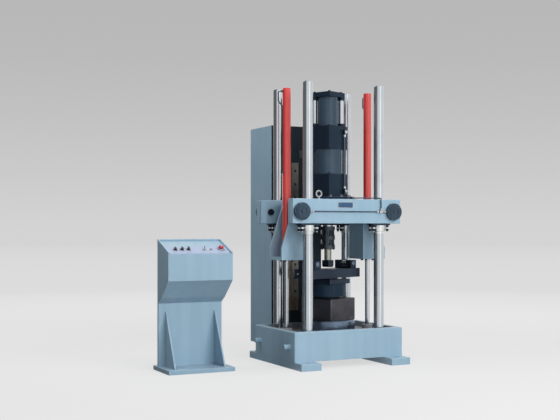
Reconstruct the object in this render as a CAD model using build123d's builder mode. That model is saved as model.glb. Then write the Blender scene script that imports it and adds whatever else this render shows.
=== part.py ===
from build123d import *

import os
from math import atan2, cos, degrees, radians, sin

# Servo-hydraulic universal testing machine: a four-column load frame whose crosshead carries a
# vertical actuator, two lift cylinders beside it, a tall cabinet behind and a control console.
# Millimetres. Origin on the floor under the load axis, +X right, +Y to the back, +Z up.

# Clearances
seat_gap = 0.2          # radial gap of a shaft seated in its own body
slide_gap = 0.1         # radial gap of a sliding or turning fit
wall_gap = 1.0          # side gap of sheet parts in their recess
rest_gap = 0.3          # flat gap between pieces that slide past each other

# Base box and its feet
base_half_width = 548.0
base_front = -408.0
base_back = 408.0
base_bottom = 62.0
base_top = 322.0
rim_front = 54.0
rim_side = 45.0
rim_back = 40.0
recess_depth = 52.0
base_edge = 6.0
foot_width = 193.0
foot_half_length = 538.0
anchor_y = 490.0
anchor_hole_radius = 18.0
tray_sheet = 4.0
trunnion_radius = 22.0
trunnion_length = 54.0
trunnion_y = 300.0
trunnion_z = 188.0

# Columns
column_inset = 184.0
column_x = base_half_width - column_inset
column_y = 300.0
column_radius = 46.0
column_top = 2516.0
column_chamfer = 6.0
nut_radius = 74.0
nut_height = 62.0
nut_pocket_radius = 82.0

# Crosshead
head_half_width = base_half_width
head_front = -375.0
head_back = 375.0
head_bottom = 1265.0
head_height = 217.0
head_top = head_bottom + head_height
notch_depth = 246.0
notch_inner_x = head_half_width - notch_depth
notch_front = -245.0
notch_back = 245.0
notch_radius = 30.0
ear_chamfer = 35.0
clamp_slit = 8.0
clamp_inset = 80.0
clamp_rise = 106.0
clamp_x = head_half_width - clamp_inset
clamp_z = head_bottom + clamp_rise
clamp_radius = 75.0
clamp_thickness = 40.0
clamp_bolt_radius = 20.0
clamp_head_radius = 30.0
clamp_head_height = 16.0
bush_flange_length = 196.0
bush_flange_width = 118.0
bush_flange_thickness = 14.0
bush_radius = 56.0
bush_length = 52.0
stud_x = 72.0
stud_y = 30.0
stud_radius = 8.0
stud_nut_radius = 15.0
stud_nut_height = 24.0

# Lift cylinders, their rods and brackets
lift_inset = 124.0
lift_x = base_half_width - lift_inset
lift_radius = 38.0
lift_bore_radius = 32.0
lift_rod_radius = 22.5
lift_end_height = 16.0
lift_gland_height = 60.0
lift_piston_height = 60.0
lift_head_room = 30.0
lift_foot_radius = 50.0
bracket_half_width = 130.0
bracket_plate = 20.0
bracket_drop = 328.0
bracket_floor = 25.0
bracket_reach = 235.0
bracket_shoulder_reach = 102.0
bracket_top_reach = 83.0
bracket_shoulder_depth = 46.0
bracket_wall_height = 108.0
lift_length = 1527.0
bracket_bottom = head_bottom - bracket_drop
bracket_outer_x = notch_inner_x + bracket_reach
bracket_shoulder_x = notch_inner_x + bracket_shoulder_reach
bracket_top_x = notch_inner_x + bracket_top_reach
bracket_taper_z = bracket_bottom + bracket_wall_height
bracket_shoulder_z = head_top - bracket_shoulder_depth
lift_top = bracket_bottom + bracket_floor + lift_length
lift_pipe_radius = 6.0
lift_pipe_bend = 45.0
clamp_pipe_radius = 5.0
clamp_pipe_stand = 14.0
back_pipe_stand = 7.0
fitting_radius = 10.0
port_depth = 8.0
riser_inset = 213.0
riser_set_back = 14.0
riser_x = head_half_width - riser_inset
riser_run_y = head_front + riser_set_back
riser_end_x = 120.0
riser_end_y = -240.0

# Actuator on the crosshead, turned about the load axis
turn = 23.0
rod_radius = 45.0
piston_radius = 80.0
piston_height = 100.0
piston_rise = 30.0
rod_stroke = 200.0
flange_radius = 220.0
flange_thickness = 30.0
liner_radius = 97.0
liner_bore_radius = 74.0
liner_drop = 14.0
bearing_height = 50.0
block_side = 266.0
block_edge = 14.0
lower_block_height = 207.0
lower_head_wall = 98.0
barrel_radius = 132.0
barrel_height = 227.0
upper_block_height = 212.0
upper_head_wall = 78.0
cover_radius = 97.0
cover_bore_radius = 60.0
cover_height = 270.0
plate_side = 225.0
plate_thickness = 42.0
tie_rod_radius = 26.0
tie_rod_pitch_radius = 125.0
flange_bolt_pitch_radius = 202.0
flange_bolt_count = 12
side_pipe_radius = 8.5
side_pipe_x = 60.0
side_pipe_stand = 15.0
side_pipe_rise = 43.0
side_pipe_drop = 46.0
side_fitting_height = 46.0
valve_block_length = 140.0
valve_block_depth = 40.0
valve_block_rise = 44.0
valve_body_length = 110.0
valve_body_depth = 42.0
valve_body_height = 70.0
valve_offset = 35.0
eye_x = 185.0
eye_y = 170.0
eye_ring_radius = 27.0
eye_wire_radius = 8.0

# Load train hanging from the actuator rod
coupling_drop = 25.0
coupling_length = 209.0
coupling_radius = 66.0
coupling_waist = 44.0
coupling_flange = 34.0
coupling_bolt_pitch_radius = 56.0
coupling_bolt_radius = 6.0
coupling_nut_radius = 9.0
ram_radius = 32.5
ram_length = 102.0
nose_side = 75.0
nose_height = 64.0
nose_tip_radius = 20.0

# Bending fixture on the base, turned like the actuator
disc_radius = 250.0
disc_height = 115.0
support_side = 359.0
support_height = 198.0
cell_radius = 169.0
cell_waist = 120.0
cell_step = 17.0
cell_height = 115.0
adapter_side = 297.0
adapter_height = 40.0
table_length = 690.0
table_width = 230.0
table_height = 82.0
slot_width = 22.0
slot_depth = 42.0
slot_foot_width = 40.0
slot_foot_height = 18.0
spacer_height = 13.0
spacer_radius = 92.0
cradle_end_gap = 77.0
cradle_x = table_length / 2 - cradle_end_gap
cradle_length = 80.0
cradle_width = 188.0
cradle_height = 75.0
cheek_width = 57.0
cradle_floor = 20.0
roller_radius = 22.0
journal_radius = 15.0
roller_z = 48.0

# Cabinet behind the frame
cabinet_overlap = 14.0
cabinet_left = -(clamp_x - clamp_radius) + cabinet_overlap
cabinet_right = 150.0
cabinet_back = 890.0
cabinet_bottom = 111.0
cabinet_top = 2194.0
cabinet_wall = 8.0
plinth_inset = 60.0
front_panel_thickness = 4.0
rail_left = -200.0
rail_right = -106.0
rail_bottom = 442.0
rail_top = 1846.0
rail_thickness = 9.0
strip_width = 66.0
strip_bottom = 563.0
strip_thickness = 9.0
stop_pin_bottom = 442.0
stop_pin_radius = 10.0
switch_x = -75.0
switch_rise = 430.0
switch_drop = 263.0
switch_low_z = rail_bottom + switch_rise
switch_high_z = cabinet_top - switch_drop
switch_width = 34.0
switch_height = 72.0
switch_depth = 18.0
switch_cable_length = 22.0
rail_pitch = 127.0

# Control console
console_x = -1331.0
console_half_width = 292.0
console_front = -200.0
console_back = 80.0
console_base_half_width = 299.0
console_base_front = -236.0
console_base_back = 167.0
console_base_thickness = 36.0
pedestal_depth = 28.0
pedestal_top = 578.0
undercut_y = -25.0
undercut_z = 626.0
console_front_bottom = 780.0
panel_front_z = 1003.0
panel_back_z = 1113.0
cheek_rise = 15.0
cheek_thickness = 12.0
console_wall = 6.0
control_plate_length = 155.0
control_plate_thickness = 3.0
gusset_inset = 67.0
gusset_thickness = 12.0
gusset_foot = 233.0
gusset_height = 467.0

# Console controls: places across the panel and up its slope
control_row = 86.0
estop_row = 97.0
knob_inset = 89.0
knob_steps = (0.0, 61.0, 119.0)
key_inset = 232.0
lamp_inset = 170.0
estop_inset = 75.0
knob_places = [knob_inset - console_half_width + step for step in knob_steps]
key_place = console_half_width - key_inset
lamp_place = console_half_width - lamp_inset
estop_place = console_half_width - estop_inset
bezel_radius = 20.0
bezel_height = 5.0
control_shaft_radius = 8.0
knob_radius = 16.5
knob_height = 24.0
estop_radius = 22.0
estop_height = 18.0
estop_travel = 8.0

# Heights that follow from the sizes above
tray_floor = base_top - recess_depth
head_mid_y = (head_front + head_back) / 2
base_mid_y = (base_front + base_back) / 2
disc_top = tray_floor + disc_height
support_top = disc_top + support_height
cell_top = support_top + cell_step + cell_height
adapter_top = cell_top + adapter_height + spacer_height
table_top = adapter_top + table_height
lift_tube_bottom = bracket_bottom + bracket_floor
lift_tube_top = lift_top - lift_end_height
lift_piston_top = lift_tube_top - lift_head_room
flange_top = head_top + flange_thickness
lower_block_top = flange_top + lower_block_height
upper_block_bottom = lower_block_top + barrel_height
upper_block_top = upper_block_bottom + upper_block_height
plate_bottom = upper_block_top + cover_height
chamber_bottom = flange_top + lower_head_wall
chamber_top = upper_block_top - upper_head_wall
piston_z = chamber_bottom + piston_rise
side_pipe_bottom = flange_top + side_pipe_rise
side_pipe_top = upper_block_top - side_pipe_drop
coupling_top = head_bottom - coupling_drop
coupling_bottom = coupling_top - coupling_length
ram_bottom = coupling_bottom - ram_length
nose_bottom = ram_bottom - nose_height
panel_angle = degrees(atan2(panel_back_z - panel_front_z, console_back - console_front))

column_places = [(x, y) for x in (-column_x, column_x) for y in (-column_y, column_y)]

os.makedirs("parts", exist_ok=True)


def turned_plane(height):
    """Level plane at a height, turned with the actuator and the fixture."""
    return Plane(origin=(0, 0, height), x_dir=(cos(radians(turn)), sin(radians(turn)), 0))


def panel_plane(rise):
    """Plane along the console's sloping panel, risen along its normal."""
    slope = radians(panel_angle)
    normal = Vector(0, -sin(slope), cos(slope))
    front = Vector(console_x, console_front, panel_front_z)
    return Plane(origin=front + normal * rise, x_dir=(1, 0, 0), z_dir=normal)


# Base: a heavy box with a recessed floor, standing on two foot rails
with BuildPart() as base_box:
    with BuildSketch(Plane.XY.offset(base_bottom)):
        with Locations((0, base_mid_y)):
            Rectangle(2 * base_half_width, base_back - base_front)
    extrude(amount=base_top - base_bottom)
    chamfer(base_box.edges().group_by(Axis.Z)[-1], length=base_edge)
    chamfer(base_box.edges().filter_by(Axis.Z), length=base_edge)
    with BuildSketch(Plane.XY.offset(base_top)):
        with Locations((0, (base_front + rim_front + base_back - rim_back) / 2)):
            Rectangle(2 * (base_half_width - rim_side), base_back - rim_back - base_front - rim_front)
    extrude(amount=-recess_depth, mode=Mode.SUBTRACT)
    with BuildSketch(Plane.XY.offset(base_bottom)):
        with Locations(*column_places):
            Circle(column_radius + seat_gap)
    extrude(amount=tray_floor - base_bottom, mode=Mode.SUBTRACT)
    with BuildSketch(Plane.XY.offset(base_bottom)):
        with Locations(*column_places):
            Circle(nut_pocket_radius)
    extrude(amount=nut_height, mode=Mode.SUBTRACT)
base_box.part.label = "base_box"
export_step(base_box.part, "parts/base_box.step")

with BuildPart() as foot_rails:
    with BuildSketch(Plane.XY):
        with Locations((-base_half_width + foot_width / 2, 0), (base_half_width - foot_width / 2, 0)):
            Rectangle(foot_width, 2 * foot_half_length)
        with GridLocations(2 * base_half_width - foot_width, 2 * anchor_y, 2, 2):
            Circle(anchor_hole_radius, mode=Mode.SUBTRACT)
    extrude(amount=base_bottom)
    chamfer(foot_rails.edges().group_by(Axis.Z)[-1].filter_by(GeomType.LINE), length=4)
foot_rails.part.label = "foot_rails"
export_step(foot_rails.part, "parts/foot_rails.step")

# Drip tray: a folded pan that lines the recess, with collars cut out round all that stands in it
with BuildPart() as drip_tray:
    tray_length = base_back - rim_back - base_front - rim_front - 2 * wall_gap
    with BuildSketch(Plane.XY.offset(tray_floor)):
        with Locations((0, (base_front + rim_front + base_back - rim_back) / 2)):
            Rectangle(2 * (base_half_width - rim_side - wall_gap), tray_length)
    extrude(amount=recess_depth - 2)
    with BuildSketch(Plane.XY.offset(tray_floor + tray_sheet)):
        with Locations((0, (base_front + rim_front + base_back - rim_back) / 2)):
            Rectangle(2 * (base_half_width - rim_side - wall_gap - tray_sheet), tray_length - 2 * tray_sheet)
    extrude(amount=recess_depth, mode=Mode.SUBTRACT)
    with BuildSketch(Plane.XY.offset(tray_floor)):
        with Locations(*column_places):
            Circle(column_radius + wall_gap)
        with Locations((-lift_x, 0), (lift_x, 0)):
            Circle(lift_foot_radius + wall_gap)
        Circle(disc_radius + wall_gap)
    extrude(amount=tray_sheet, mode=Mode.SUBTRACT)
drip_tray.part.label = "drip_tray"
export_step(drip_tray.part, "parts/drip_tray.step")

# Lifting trunnions: two plain stubs with a chamfered end on each side of the base
with BuildPart() as lifting_trunnions:
    for side in (-1, 1):
        root_plane = Plane(origin=(side * base_half_width, 0, trunnion_z), x_dir=(0, 1, 0), z_dir=(side, 0, 0))
        with BuildSketch(root_plane):
            with Locations((-trunnion_y, 0), (trunnion_y, 0)):
                Circle(trunnion_radius)
        extrude(amount=trunnion_length)
    for end_edges in (lifting_trunnions.edges().group_by(Axis.X)[0], lifting_trunnions.edges().group_by(Axis.X)[-1]):
        chamfer(end_edges, length=3)
lifting_trunnions.part.label = "lifting_trunnions"
export_step(lifting_trunnions.part, "parts/lifting_trunnions.step")

# Four polished columns, each held by a big nut under the base floor
column_names = ("front_left", "back_left", "front_right", "back_right")
for column_name, column_place in zip(column_names, column_places):
    with BuildPart() as column:
        with BuildSketch(Plane.XY.offset(base_bottom + 4)):
            with Locations(column_place):
                Circle(column_radius)
        extrude(amount=column_top - base_bottom - 4)
        chamfer(column.edges().group_by(Axis.Z)[-1], length=column_chamfer)
    column.part.label = f"column_{column_name}"
    export_step(column.part, f"parts/column_{column_name}.step")

with BuildPart() as column_nuts:
    with BuildSketch(Plane.XY.offset(base_bottom + 4)):
        with Locations(*column_places):
            RegularPolygon(nut_radius, 6)
            Circle(column_radius + seat_gap, mode=Mode.SUBTRACT)
    extrude(amount=nut_height - 4)
column_nuts.part.label = "column_nuts"
export_step(column_nuts.part, "parts/column_nuts.step")

# Crosshead: one thick plate with a notch in each side, so that four ears clamp the columns
with BuildPart() as crosshead:
    with BuildSketch(Plane.XY.offset(head_bottom)) as head_plan:
        with Locations((0, head_mid_y)):
            Rectangle(2 * head_half_width, head_back - head_front)
        for side in (-1, 1):
            with Locations((side * (notch_inner_x + head_half_width) / 2, (notch_front + notch_back) / 2)):
                Rectangle(head_half_width - notch_inner_x, notch_back - notch_front, mode=Mode.SUBTRACT)
        notch_corners = [v for v in head_plan.vertices() if notch_front - 1 < v.Y < notch_back + 1]
        fillet([v for v in notch_corners if abs(v.X) < notch_inner_x + 1], radius=notch_radius)
        ear_corners = [v for v in head_plan.vertices() if abs(v.X) > head_half_width - 1]
        chamfer([v for v in ear_corners if notch_front - 1 < v.Y < notch_back + 1], length=ear_chamfer)
    extrude(amount=head_height)
    chamfer(crosshead.edges().group_by(Axis.Z)[-1], length=4)
    chamfer(crosshead.edges().group_by(Axis.Z)[0], length=4)
    with BuildSketch(Plane.XY.offset(head_bottom)):
        Circle(liner_radius + seat_gap)
        with Locations(*column_places):
            Circle(column_radius + rest_gap)
        for side in (-1, 1):
            with Locations(*[(side * (column_x + head_half_width) / 2, y) for y in (-column_y, column_y)]):
                Rectangle(head_half_width - column_x + 2, clamp_slit)
    extrude(amount=head_height, mode=Mode.SUBTRACT)
    with BuildSketch(Plane.XZ.offset(-head_back)):
        with Locations((-clamp_x, clamp_z), (clamp_x, clamp_z)):
            Circle(clamp_bolt_radius + seat_gap)
    extrude(amount=head_back - head_front, mode=Mode.SUBTRACT)
crosshead.part.label = "crosshead"
export_step(crosshead.part, "parts/crosshead.step")


def clamp_plane(end):
    """Upright plane on the front (-1) or back (+1) face of the crosshead, facing out."""
    face_y = head_front if end < 0 else head_back
    return Plane(origin=(0, face_y, clamp_z), x_dir=(-end, 0, 0), z_dir=(0, end, 0))


# Clamp cylinders: a stepped round head on the outer face of every ear
with BuildPart() as clamp_cylinders:
    for end in (-1, 1):
        with BuildSketch(clamp_plane(end)):
            with Locations((-clamp_x, 0), (clamp_x, 0)):
                Circle(clamp_radius)
        extrude(amount=clamp_thickness - 8)
        with BuildSketch(clamp_plane(end).offset(clamp_thickness - 8)):
            with Locations((-clamp_x, 0), (clamp_x, 0)):
                Circle(clamp_radius - 7)
        extrude(amount=8, taper=35)
        with BuildSketch(clamp_plane(end)):
            with Locations((-clamp_x, 0), (clamp_x, 0)):
                Circle(clamp_bolt_radius + seat_gap)
        extrude(amount=clamp_thickness - 14, mode=Mode.SUBTRACT)
    for end in (-1, 1):
        port_y = head_front - clamp_pipe_stand if end < 0 else head_back + back_pipe_stand
        port_radius = fitting_radius if end < 0 else clamp_pipe_radius
        for side in (-1, 1):
            port_plane = Plane(
                origin=(side * (clamp_x - clamp_radius + port_depth), port_y, clamp_z), z_dir=(-side, 0, 0)
            )
            with BuildSketch(port_plane):
                Circle(port_radius + seat_gap)
            extrude(amount=2 * port_depth, mode=Mode.SUBTRACT)
clamp_cylinders.part.label = "clamp_cylinders"
export_step(clamp_cylinders.part, "parts/clamp_cylinders.step")

# Guide bushes: an oblong flange under each ear and a bright collar round the column
stud_offsets = [(a, b) for a in (-stud_x, stud_x) for b in (-stud_y, stud_y)]
stud_places = [(x + a, y + b) for x, y in column_places for a, b in stud_offsets]
with BuildPart() as guide_bushes:
    with BuildSketch(Plane.XY.offset(head_bottom)):
        with Locations(*column_places):
            RectangleRounded(bush_flange_length, bush_flange_width, 24)
    extrude(amount=-bush_flange_thickness)
    with BuildSketch(Plane.XY.offset(head_bottom - bush_flange_thickness)):
        with Locations(*column_places):
            Circle(bush_radius)
    extrude(amount=-bush_length)
    chamfer(guide_bushes.edges().group_by(Axis.Z)[0], length=4)
    with BuildSketch(Plane.XY.offset(head_bottom)):
        with Locations(*column_places):
            Circle(column_radius + slide_gap)
        with Locations(*stud_places):
            Circle(stud_radius + seat_gap)
    extrude(amount=-bush_flange_thickness - bush_length, mode=Mode.SUBTRACT)
guide_bushes.part.label = "guide_bushes"
export_step(guide_bushes.part, "parts/guide_bushes.step")

# Crosshead bolts: clamp bolts through the ears, bush studs with two nuts, actuator flange bolts
with BuildPart() as crosshead_bolts:
    for end in (-1, 1):
        wall_y = notch_front if end < 0 else notch_back
        shank = abs((head_front if end < 0 else head_back) - wall_y) + clamp_thickness - 16
        wall_plane = Plane(origin=(0, wall_y, clamp_z), x_dir=(-end, 0, 0), z_dir=(0, end, 0))
        with BuildSketch(wall_plane):
            with Locations((-clamp_x, 0), (clamp_x, 0)):
                Circle(clamp_bolt_radius)
        extrude(amount=shank)
        with BuildSketch(wall_plane):
            with Locations((-clamp_x, 0), (clamp_x, 0)):
                Circle(clamp_head_radius)
                RegularPolygon(12, 6, mode=Mode.SUBTRACT)
        extrude(amount=-clamp_head_height)
    with BuildSketch(Plane.XY.offset(head_bottom)):
        with Locations(*stud_places):
            Circle(stud_radius)
    extrude(amount=-bush_flange_thickness - 2 * stud_nut_height - 10)
    for drop in (0, stud_nut_height + 4):
        with BuildSketch(Plane.XY.offset(head_bottom - bush_flange_thickness - drop)):
            with Locations(*stud_places):
                RegularPolygon(stud_nut_radius, 6)
        extrude(amount=-stud_nut_height)
    with BuildSketch(turned_plane(flange_top)):
        with PolarLocations(flange_bolt_pitch_radius, flange_bolt_count, 15):
            Circle(13)
            RegularPolygon(7, 6, mode=Mode.SUBTRACT)
    extrude(amount=12)
crosshead_bolts.part.label = "crosshead_bolts"
export_step(crosshead_bolts.part, "parts/crosshead_bolts.step")

# Lift rods stand on round feet in the tray and carry the pistons inside the red cylinders
with BuildPart() as lift_rod_feet:
    with BuildSketch(Plane.XY.offset(tray_floor)):
        with Locations((-lift_x, 0), (lift_x, 0)):
            Circle(lift_foot_radius)
    extrude(amount=recess_depth)
    chamfer(lift_rod_feet.edges().group_by(Axis.Z)[-1], length=6)
    with BuildSketch(Plane.XY.offset(base_top)):
        with Locations((-lift_x, 0), (lift_x, 0)):
            Circle(lift_rod_radius + seat_gap)
    extrude(amount=-recess_depth + 12, mode=Mode.SUBTRACT)
lift_rod_feet.part.label = "lift_rod_feet"
export_step(lift_rod_feet.part, "parts/lift_rod_feet.step")

side_names = (("left", -1), ("right", 1))
for side_name, side in side_names:
    with BuildPart() as lift_rod:
        with BuildSketch(Plane.XY.offset(tray_floor + 12)):
            with Locations((side * lift_x, 0)):
                Circle(lift_rod_radius)
        extrude(amount=lift_piston_top - tray_floor - 12)
        with BuildSketch(Plane.XY.offset(lift_piston_top)):
            with Locations((side * lift_x, 0)):
                Circle(lift_bore_radius - slide_gap)
        extrude(amount=-lift_piston_height)
    lift_rod.part.label = f"lift_rod_{side_name}"
    export_step(lift_rod.part, f"parts/lift_rod_{side_name}.step")

# Lift cylinders: long closed tubes that rise with the crosshead, with a guiding gland below
for side_name, side in side_names:
    with BuildPart() as lift_cylinder:
        with BuildSketch(Plane.XY.offset(lift_tube_bottom)):
            with Locations((side * lift_x, 0)):
                Circle(lift_radius)
        extrude(amount=lift_top - lift_tube_bottom)
        chamfer(lift_cylinder.edges().group_by(Axis.Z)[-1], length=3)
        with BuildSketch(Plane.XY.offset(lift_tube_bottom)):
            with Locations((side * lift_x, 0)):
                Circle(lift_rod_radius + slide_gap)
        extrude(amount=lift_gland_height, mode=Mode.SUBTRACT)
        with BuildSketch(Plane.XY.offset(lift_tube_bottom + lift_gland_height)):
            with Locations((side * lift_x, 0)):
                Circle(lift_bore_radius)
        extrude(amount=lift_tube_top - lift_tube_bottom - lift_gland_height, mode=Mode.SUBTRACT)
    lift_cylinder.part.label = f"lift_cylinder_{side_name}"
    export_step(lift_cylinder.part, f"parts/lift_cylinder_{side_name}.step")

# Lift brackets: welded channels, open outwards, bolted in the crosshead's side notches
for side_name, side in side_names:
    with BuildPart() as lift_bracket:
        for plate_y in (-bracket_half_width + bracket_plate / 2, bracket_half_width - bracket_plate / 2):
            with BuildSketch(Plane.XZ.offset(-plate_y)):
                with BuildLine():
                    Polyline(
                        (side * notch_inner_x, bracket_bottom),
                        (side * notch_inner_x, head_top),
                        (side * bracket_top_x, head_top),
                        (side * bracket_shoulder_x, bracket_shoulder_z),
                        (side * bracket_outer_x, bracket_taper_z),
                        (side * bracket_outer_x, bracket_bottom),
                        close=True,
                    )
                make_face()
            extrude(amount=bracket_plate / 2, both=True)
        with BuildSketch(Plane.XY.offset(bracket_bottom)):
            with Locations((side * (notch_inner_x + bracket_plate / 2), 0)):
                Rectangle(bracket_plate, 2 * bracket_half_width)
        extrude(amount=head_top - bracket_bottom)
        with BuildSketch(Plane.XY.offset(bracket_bottom)):
            with Locations((side * (notch_inner_x + bracket_outer_x) / 2, 0)):
                Rectangle(bracket_outer_x - notch_inner_x, 2 * bracket_half_width)
        extrude(amount=bracket_floor)
        with BuildSketch(Plane.XY.offset(bracket_bottom)):
            with Locations((side * lift_x, 0)):
                Circle(lift_rod_radius + 6)
        extrude(amount=bracket_floor, mode=Mode.SUBTRACT)
    lift_bracket.part.label = f"lift_bracket_{side_name}"
    export_step(lift_bracket.part, f"parts/lift_bracket_{side_name}.step")

# Hydraulic pipes: a loop at each lift cylinder's top port with a run down beside the tube, and
# the clamp line between the front clamp cylinders with a riser that bends over the crosshead
with BuildPart() as hydraulic_pipes:
    pipe_gap = lift_radius + lift_pipe_radius + rest_gap
    port_z = lift_top - 30
    for place, direction in (((-lift_x, 0), (-1, 0)), ((lift_x, 0), (0, 1))):
        out = Vector(direction[0], direction[1], 0)
        start = Vector(place[0], place[1], port_z) + out * lift_radius
        with BuildLine():
            FilletPolyline(
                start,
                start + out * lift_pipe_bend,
                start + out * lift_pipe_bend - Vector(0, 0, 2 * lift_pipe_bend),
                start + out * (pipe_gap - lift_radius) - Vector(0, 0, 3 * lift_pipe_bend),
                Vector(place[0], place[1], head_top + 260) + out * pipe_gap,
                radius=20,
            )
        with BuildSketch(Plane(origin=start, z_dir=out)):
            Circle(lift_pipe_radius)
        sweep()
        with BuildSketch(Plane(origin=start, z_dir=out)):
            Circle(lift_pipe_radius + 5)
        extrude(amount=12)
        with BuildSketch(Plane(origin=(place[0], place[1], head_top + 248), z_dir=out)):
            Rectangle(2 * lift_pipe_radius + 14, 24)
        extrude(amount=pipe_gap + lift_pipe_radius + 5)
        with BuildSketch(Plane.XY.offset(head_top + 220)):
            with Locations(place):
                Circle(lift_radius)
        extrude(amount=60, mode=Mode.SUBTRACT)
    pipe_y = head_front - clamp_pipe_stand
    run_z = head_top + 12
    clamp_span = 2 * (clamp_x - clamp_radius + port_depth)
    with BuildSketch(Plane(origin=(-clamp_span / 2, pipe_y, clamp_z), z_dir=(1, 0, 0))):
        Circle(clamp_pipe_radius)
    extrude(amount=clamp_span)
    for fitting_x in (-clamp_span / 2, riser_x - 17, clamp_span / 2 - 34):
        with BuildSketch(Plane(origin=(fitting_x, pipe_y, clamp_z), z_dir=(1, 0, 0))):
            Circle(fitting_radius)
        extrude(amount=34)
    with BuildLine():
        FilletPolyline(
            (riser_x, pipe_y, clamp_z),
            (riser_x, pipe_y, run_z),
            (riser_x, riser_run_y, run_z),
            (riser_end_x, riser_run_y, run_z),
            (riser_end_x, riser_end_y, run_z),
            radius=12,
        )
    with BuildSketch(Plane(origin=(riser_x, pipe_y, clamp_z), z_dir=(0, 0, 1))):
        Circle(clamp_pipe_radius)
    sweep()
    with BuildSketch(Plane.XY.offset(head_top)):
        with Locations((riser_end_x, riser_end_y - 5)):
            Rectangle(3 * fitting_radius, 3 * fitting_radius)
    extrude(amount=26)
    back_pipe_plane = Plane(origin=(-clamp_span / 2, head_back + back_pipe_stand, clamp_z), z_dir=(1, 0, 0))
    with BuildSketch(back_pipe_plane):
        Circle(clamp_pipe_radius)
    extrude(amount=clamp_span)
hydraulic_pipes.part.label = "hydraulic_pipes"
export_step(hydraulic_pipes.part, "parts/hydraulic_pipes.step")

# Actuator flange: a round plate on the crosshead with a liner tube through its bore; the rod's
# bearing sits at the top, and the coupling can rise into the liner below it
with BuildPart() as actuator_flange:
    with BuildSketch(Plane.XY.offset(head_top)):
        Circle(flange_radius)
    extrude(amount=flange_thickness)
    chamfer(actuator_flange.edges().group_by(Axis.Z)[-1], length=4)
    with BuildSketch(Plane.XY.offset(head_bottom - liner_drop)):
        Circle(liner_radius)
    extrude(amount=head_height + liner_drop)
    with BuildSketch(Plane.XY.offset(head_bottom - liner_drop)):
        Circle(liner_bore_radius)
    extrude(amount=flange_top - bearing_height - head_bottom + liner_drop, mode=Mode.SUBTRACT)
    with BuildSketch(Plane.XY.offset(flange_top)):
        Circle(rod_radius + slide_gap)
    extrude(amount=-bearing_height, mode=Mode.SUBTRACT)
actuator_flange.part.label = "actuator_flange"
export_step(actuator_flange.part, "parts/actuator_flange.step")

# Lower cylinder head: a square block with the lower end of the working bore
with BuildPart() as actuator_lower_block:
    with BuildSketch(turned_plane(flange_top)):
        Rectangle(block_side, block_side)
    extrude(amount=lower_block_top - flange_top)
    chamfer(actuator_lower_block.edges().filter_by(Axis.Z), length=block_edge)
    with BuildSketch(Plane.XY.offset(flange_top)):
        Circle(rod_radius + slide_gap)
    extrude(amount=chamber_bottom - flange_top, mode=Mode.SUBTRACT)
    with BuildSketch(Plane.XY.offset(chamber_bottom)):
        Circle(piston_radius + slide_gap)
    extrude(amount=lower_block_top - chamber_bottom, mode=Mode.SUBTRACT)
actuator_lower_block.part.label = "actuator_lower_block"
export_step(actuator_lower_block.part, "parts/actuator_lower_block.step")

with BuildPart() as actuator_barrel:
    with BuildSketch(Plane.XY.offset(lower_block_top)):
        Circle(barrel_radius)
        Circle(piston_radius + slide_gap, mode=Mode.SUBTRACT)
    extrude(amount=upper_block_bottom - lower_block_top)
actuator_barrel.part.label = "actuator_barrel"
export_step(actuator_barrel.part, "parts/actuator_barrel.step")

with BuildPart() as actuator_upper_block:
    with BuildSketch(turned_plane(upper_block_bottom)):
        Rectangle(block_side, block_side)
    extrude(amount=upper_block_top - upper_block_bottom)
    chamfer(actuator_upper_block.edges().filter_by(Axis.Z), length=block_edge)
    with BuildSketch(Plane.XY.offset(upper_block_bottom)):
        Circle(piston_radius + slide_gap)
    extrude(amount=chamber_top - upper_block_bottom, mode=Mode.SUBTRACT)
    with BuildSketch(Plane.XY.offset(chamber_top)):
        Circle(rod_radius + slide_gap)
    extrude(amount=upper_block_top - chamber_top, mode=Mode.SUBTRACT)
actuator_upper_block.part.label = "actuator_upper_block"
export_step(actuator_upper_block.part, "parts/actuator_upper_block.step")

# Rod cover: the tube over the rod's upper end, under a square top plate on two tie rods
with BuildPart() as rod_cover:
    with BuildSketch(Plane.XY.offset(upper_block_top)):
        Circle(cover_radius)
        Circle(cover_bore_radius, mode=Mode.SUBTRACT)
    extrude(amount=plate_bottom - upper_block_top)
rod_cover.part.label = "rod_cover"
export_step(rod_cover.part, "parts/rod_cover.step")

with BuildPart() as actuator_top_plate:
    with BuildSketch(turned_plane(plate_bottom)):
        Rectangle(plate_side, plate_side)
    extrude(amount=plate_thickness)
    chamfer(actuator_top_plate.edges().filter_by(Axis.Z), length=5)
actuator_top_plate.part.label = "actuator_top_plate"
export_step(actuator_top_plate.part, "parts/actuator_top_plate.step")

with BuildPart() as tie_rods:
    with BuildSketch(turned_plane(upper_block_top)):
        with PolarLocations(tie_rod_pitch_radius, 2, -45):
            Circle(tie_rod_radius)
    extrude(amount=plate_bottom - upper_block_top)
tie_rods.part.label = "tie_rods"
export_step(tie_rods.part, "parts/tie_rods.step")

# Side pipe: joins the two cylinder heads, with a fitting block at each end
with BuildPart() as side_pipe:
    pipe_out = block_side / 2 + side_pipe_stand
    with BuildSketch(turned_plane(side_pipe_bottom)):
        with Locations((side_pipe_x, -pipe_out)):
            Circle(side_pipe_radius)
    extrude(amount=side_pipe_top - side_pipe_bottom)
    for fitting_z in (side_pipe_bottom - 16, side_pipe_top - 30):
        with BuildSketch(turned_plane(fitting_z)):
            with Locations((side_pipe_x, -block_side / 2 - side_pipe_stand)):
                Rectangle(2 * side_pipe_stand, 2 * side_pipe_stand)
        extrude(amount=side_fitting_height)
side_pipe.part.label = "side_pipe"
export_step(side_pipe.part, "parts/side_pipe.step")

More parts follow.
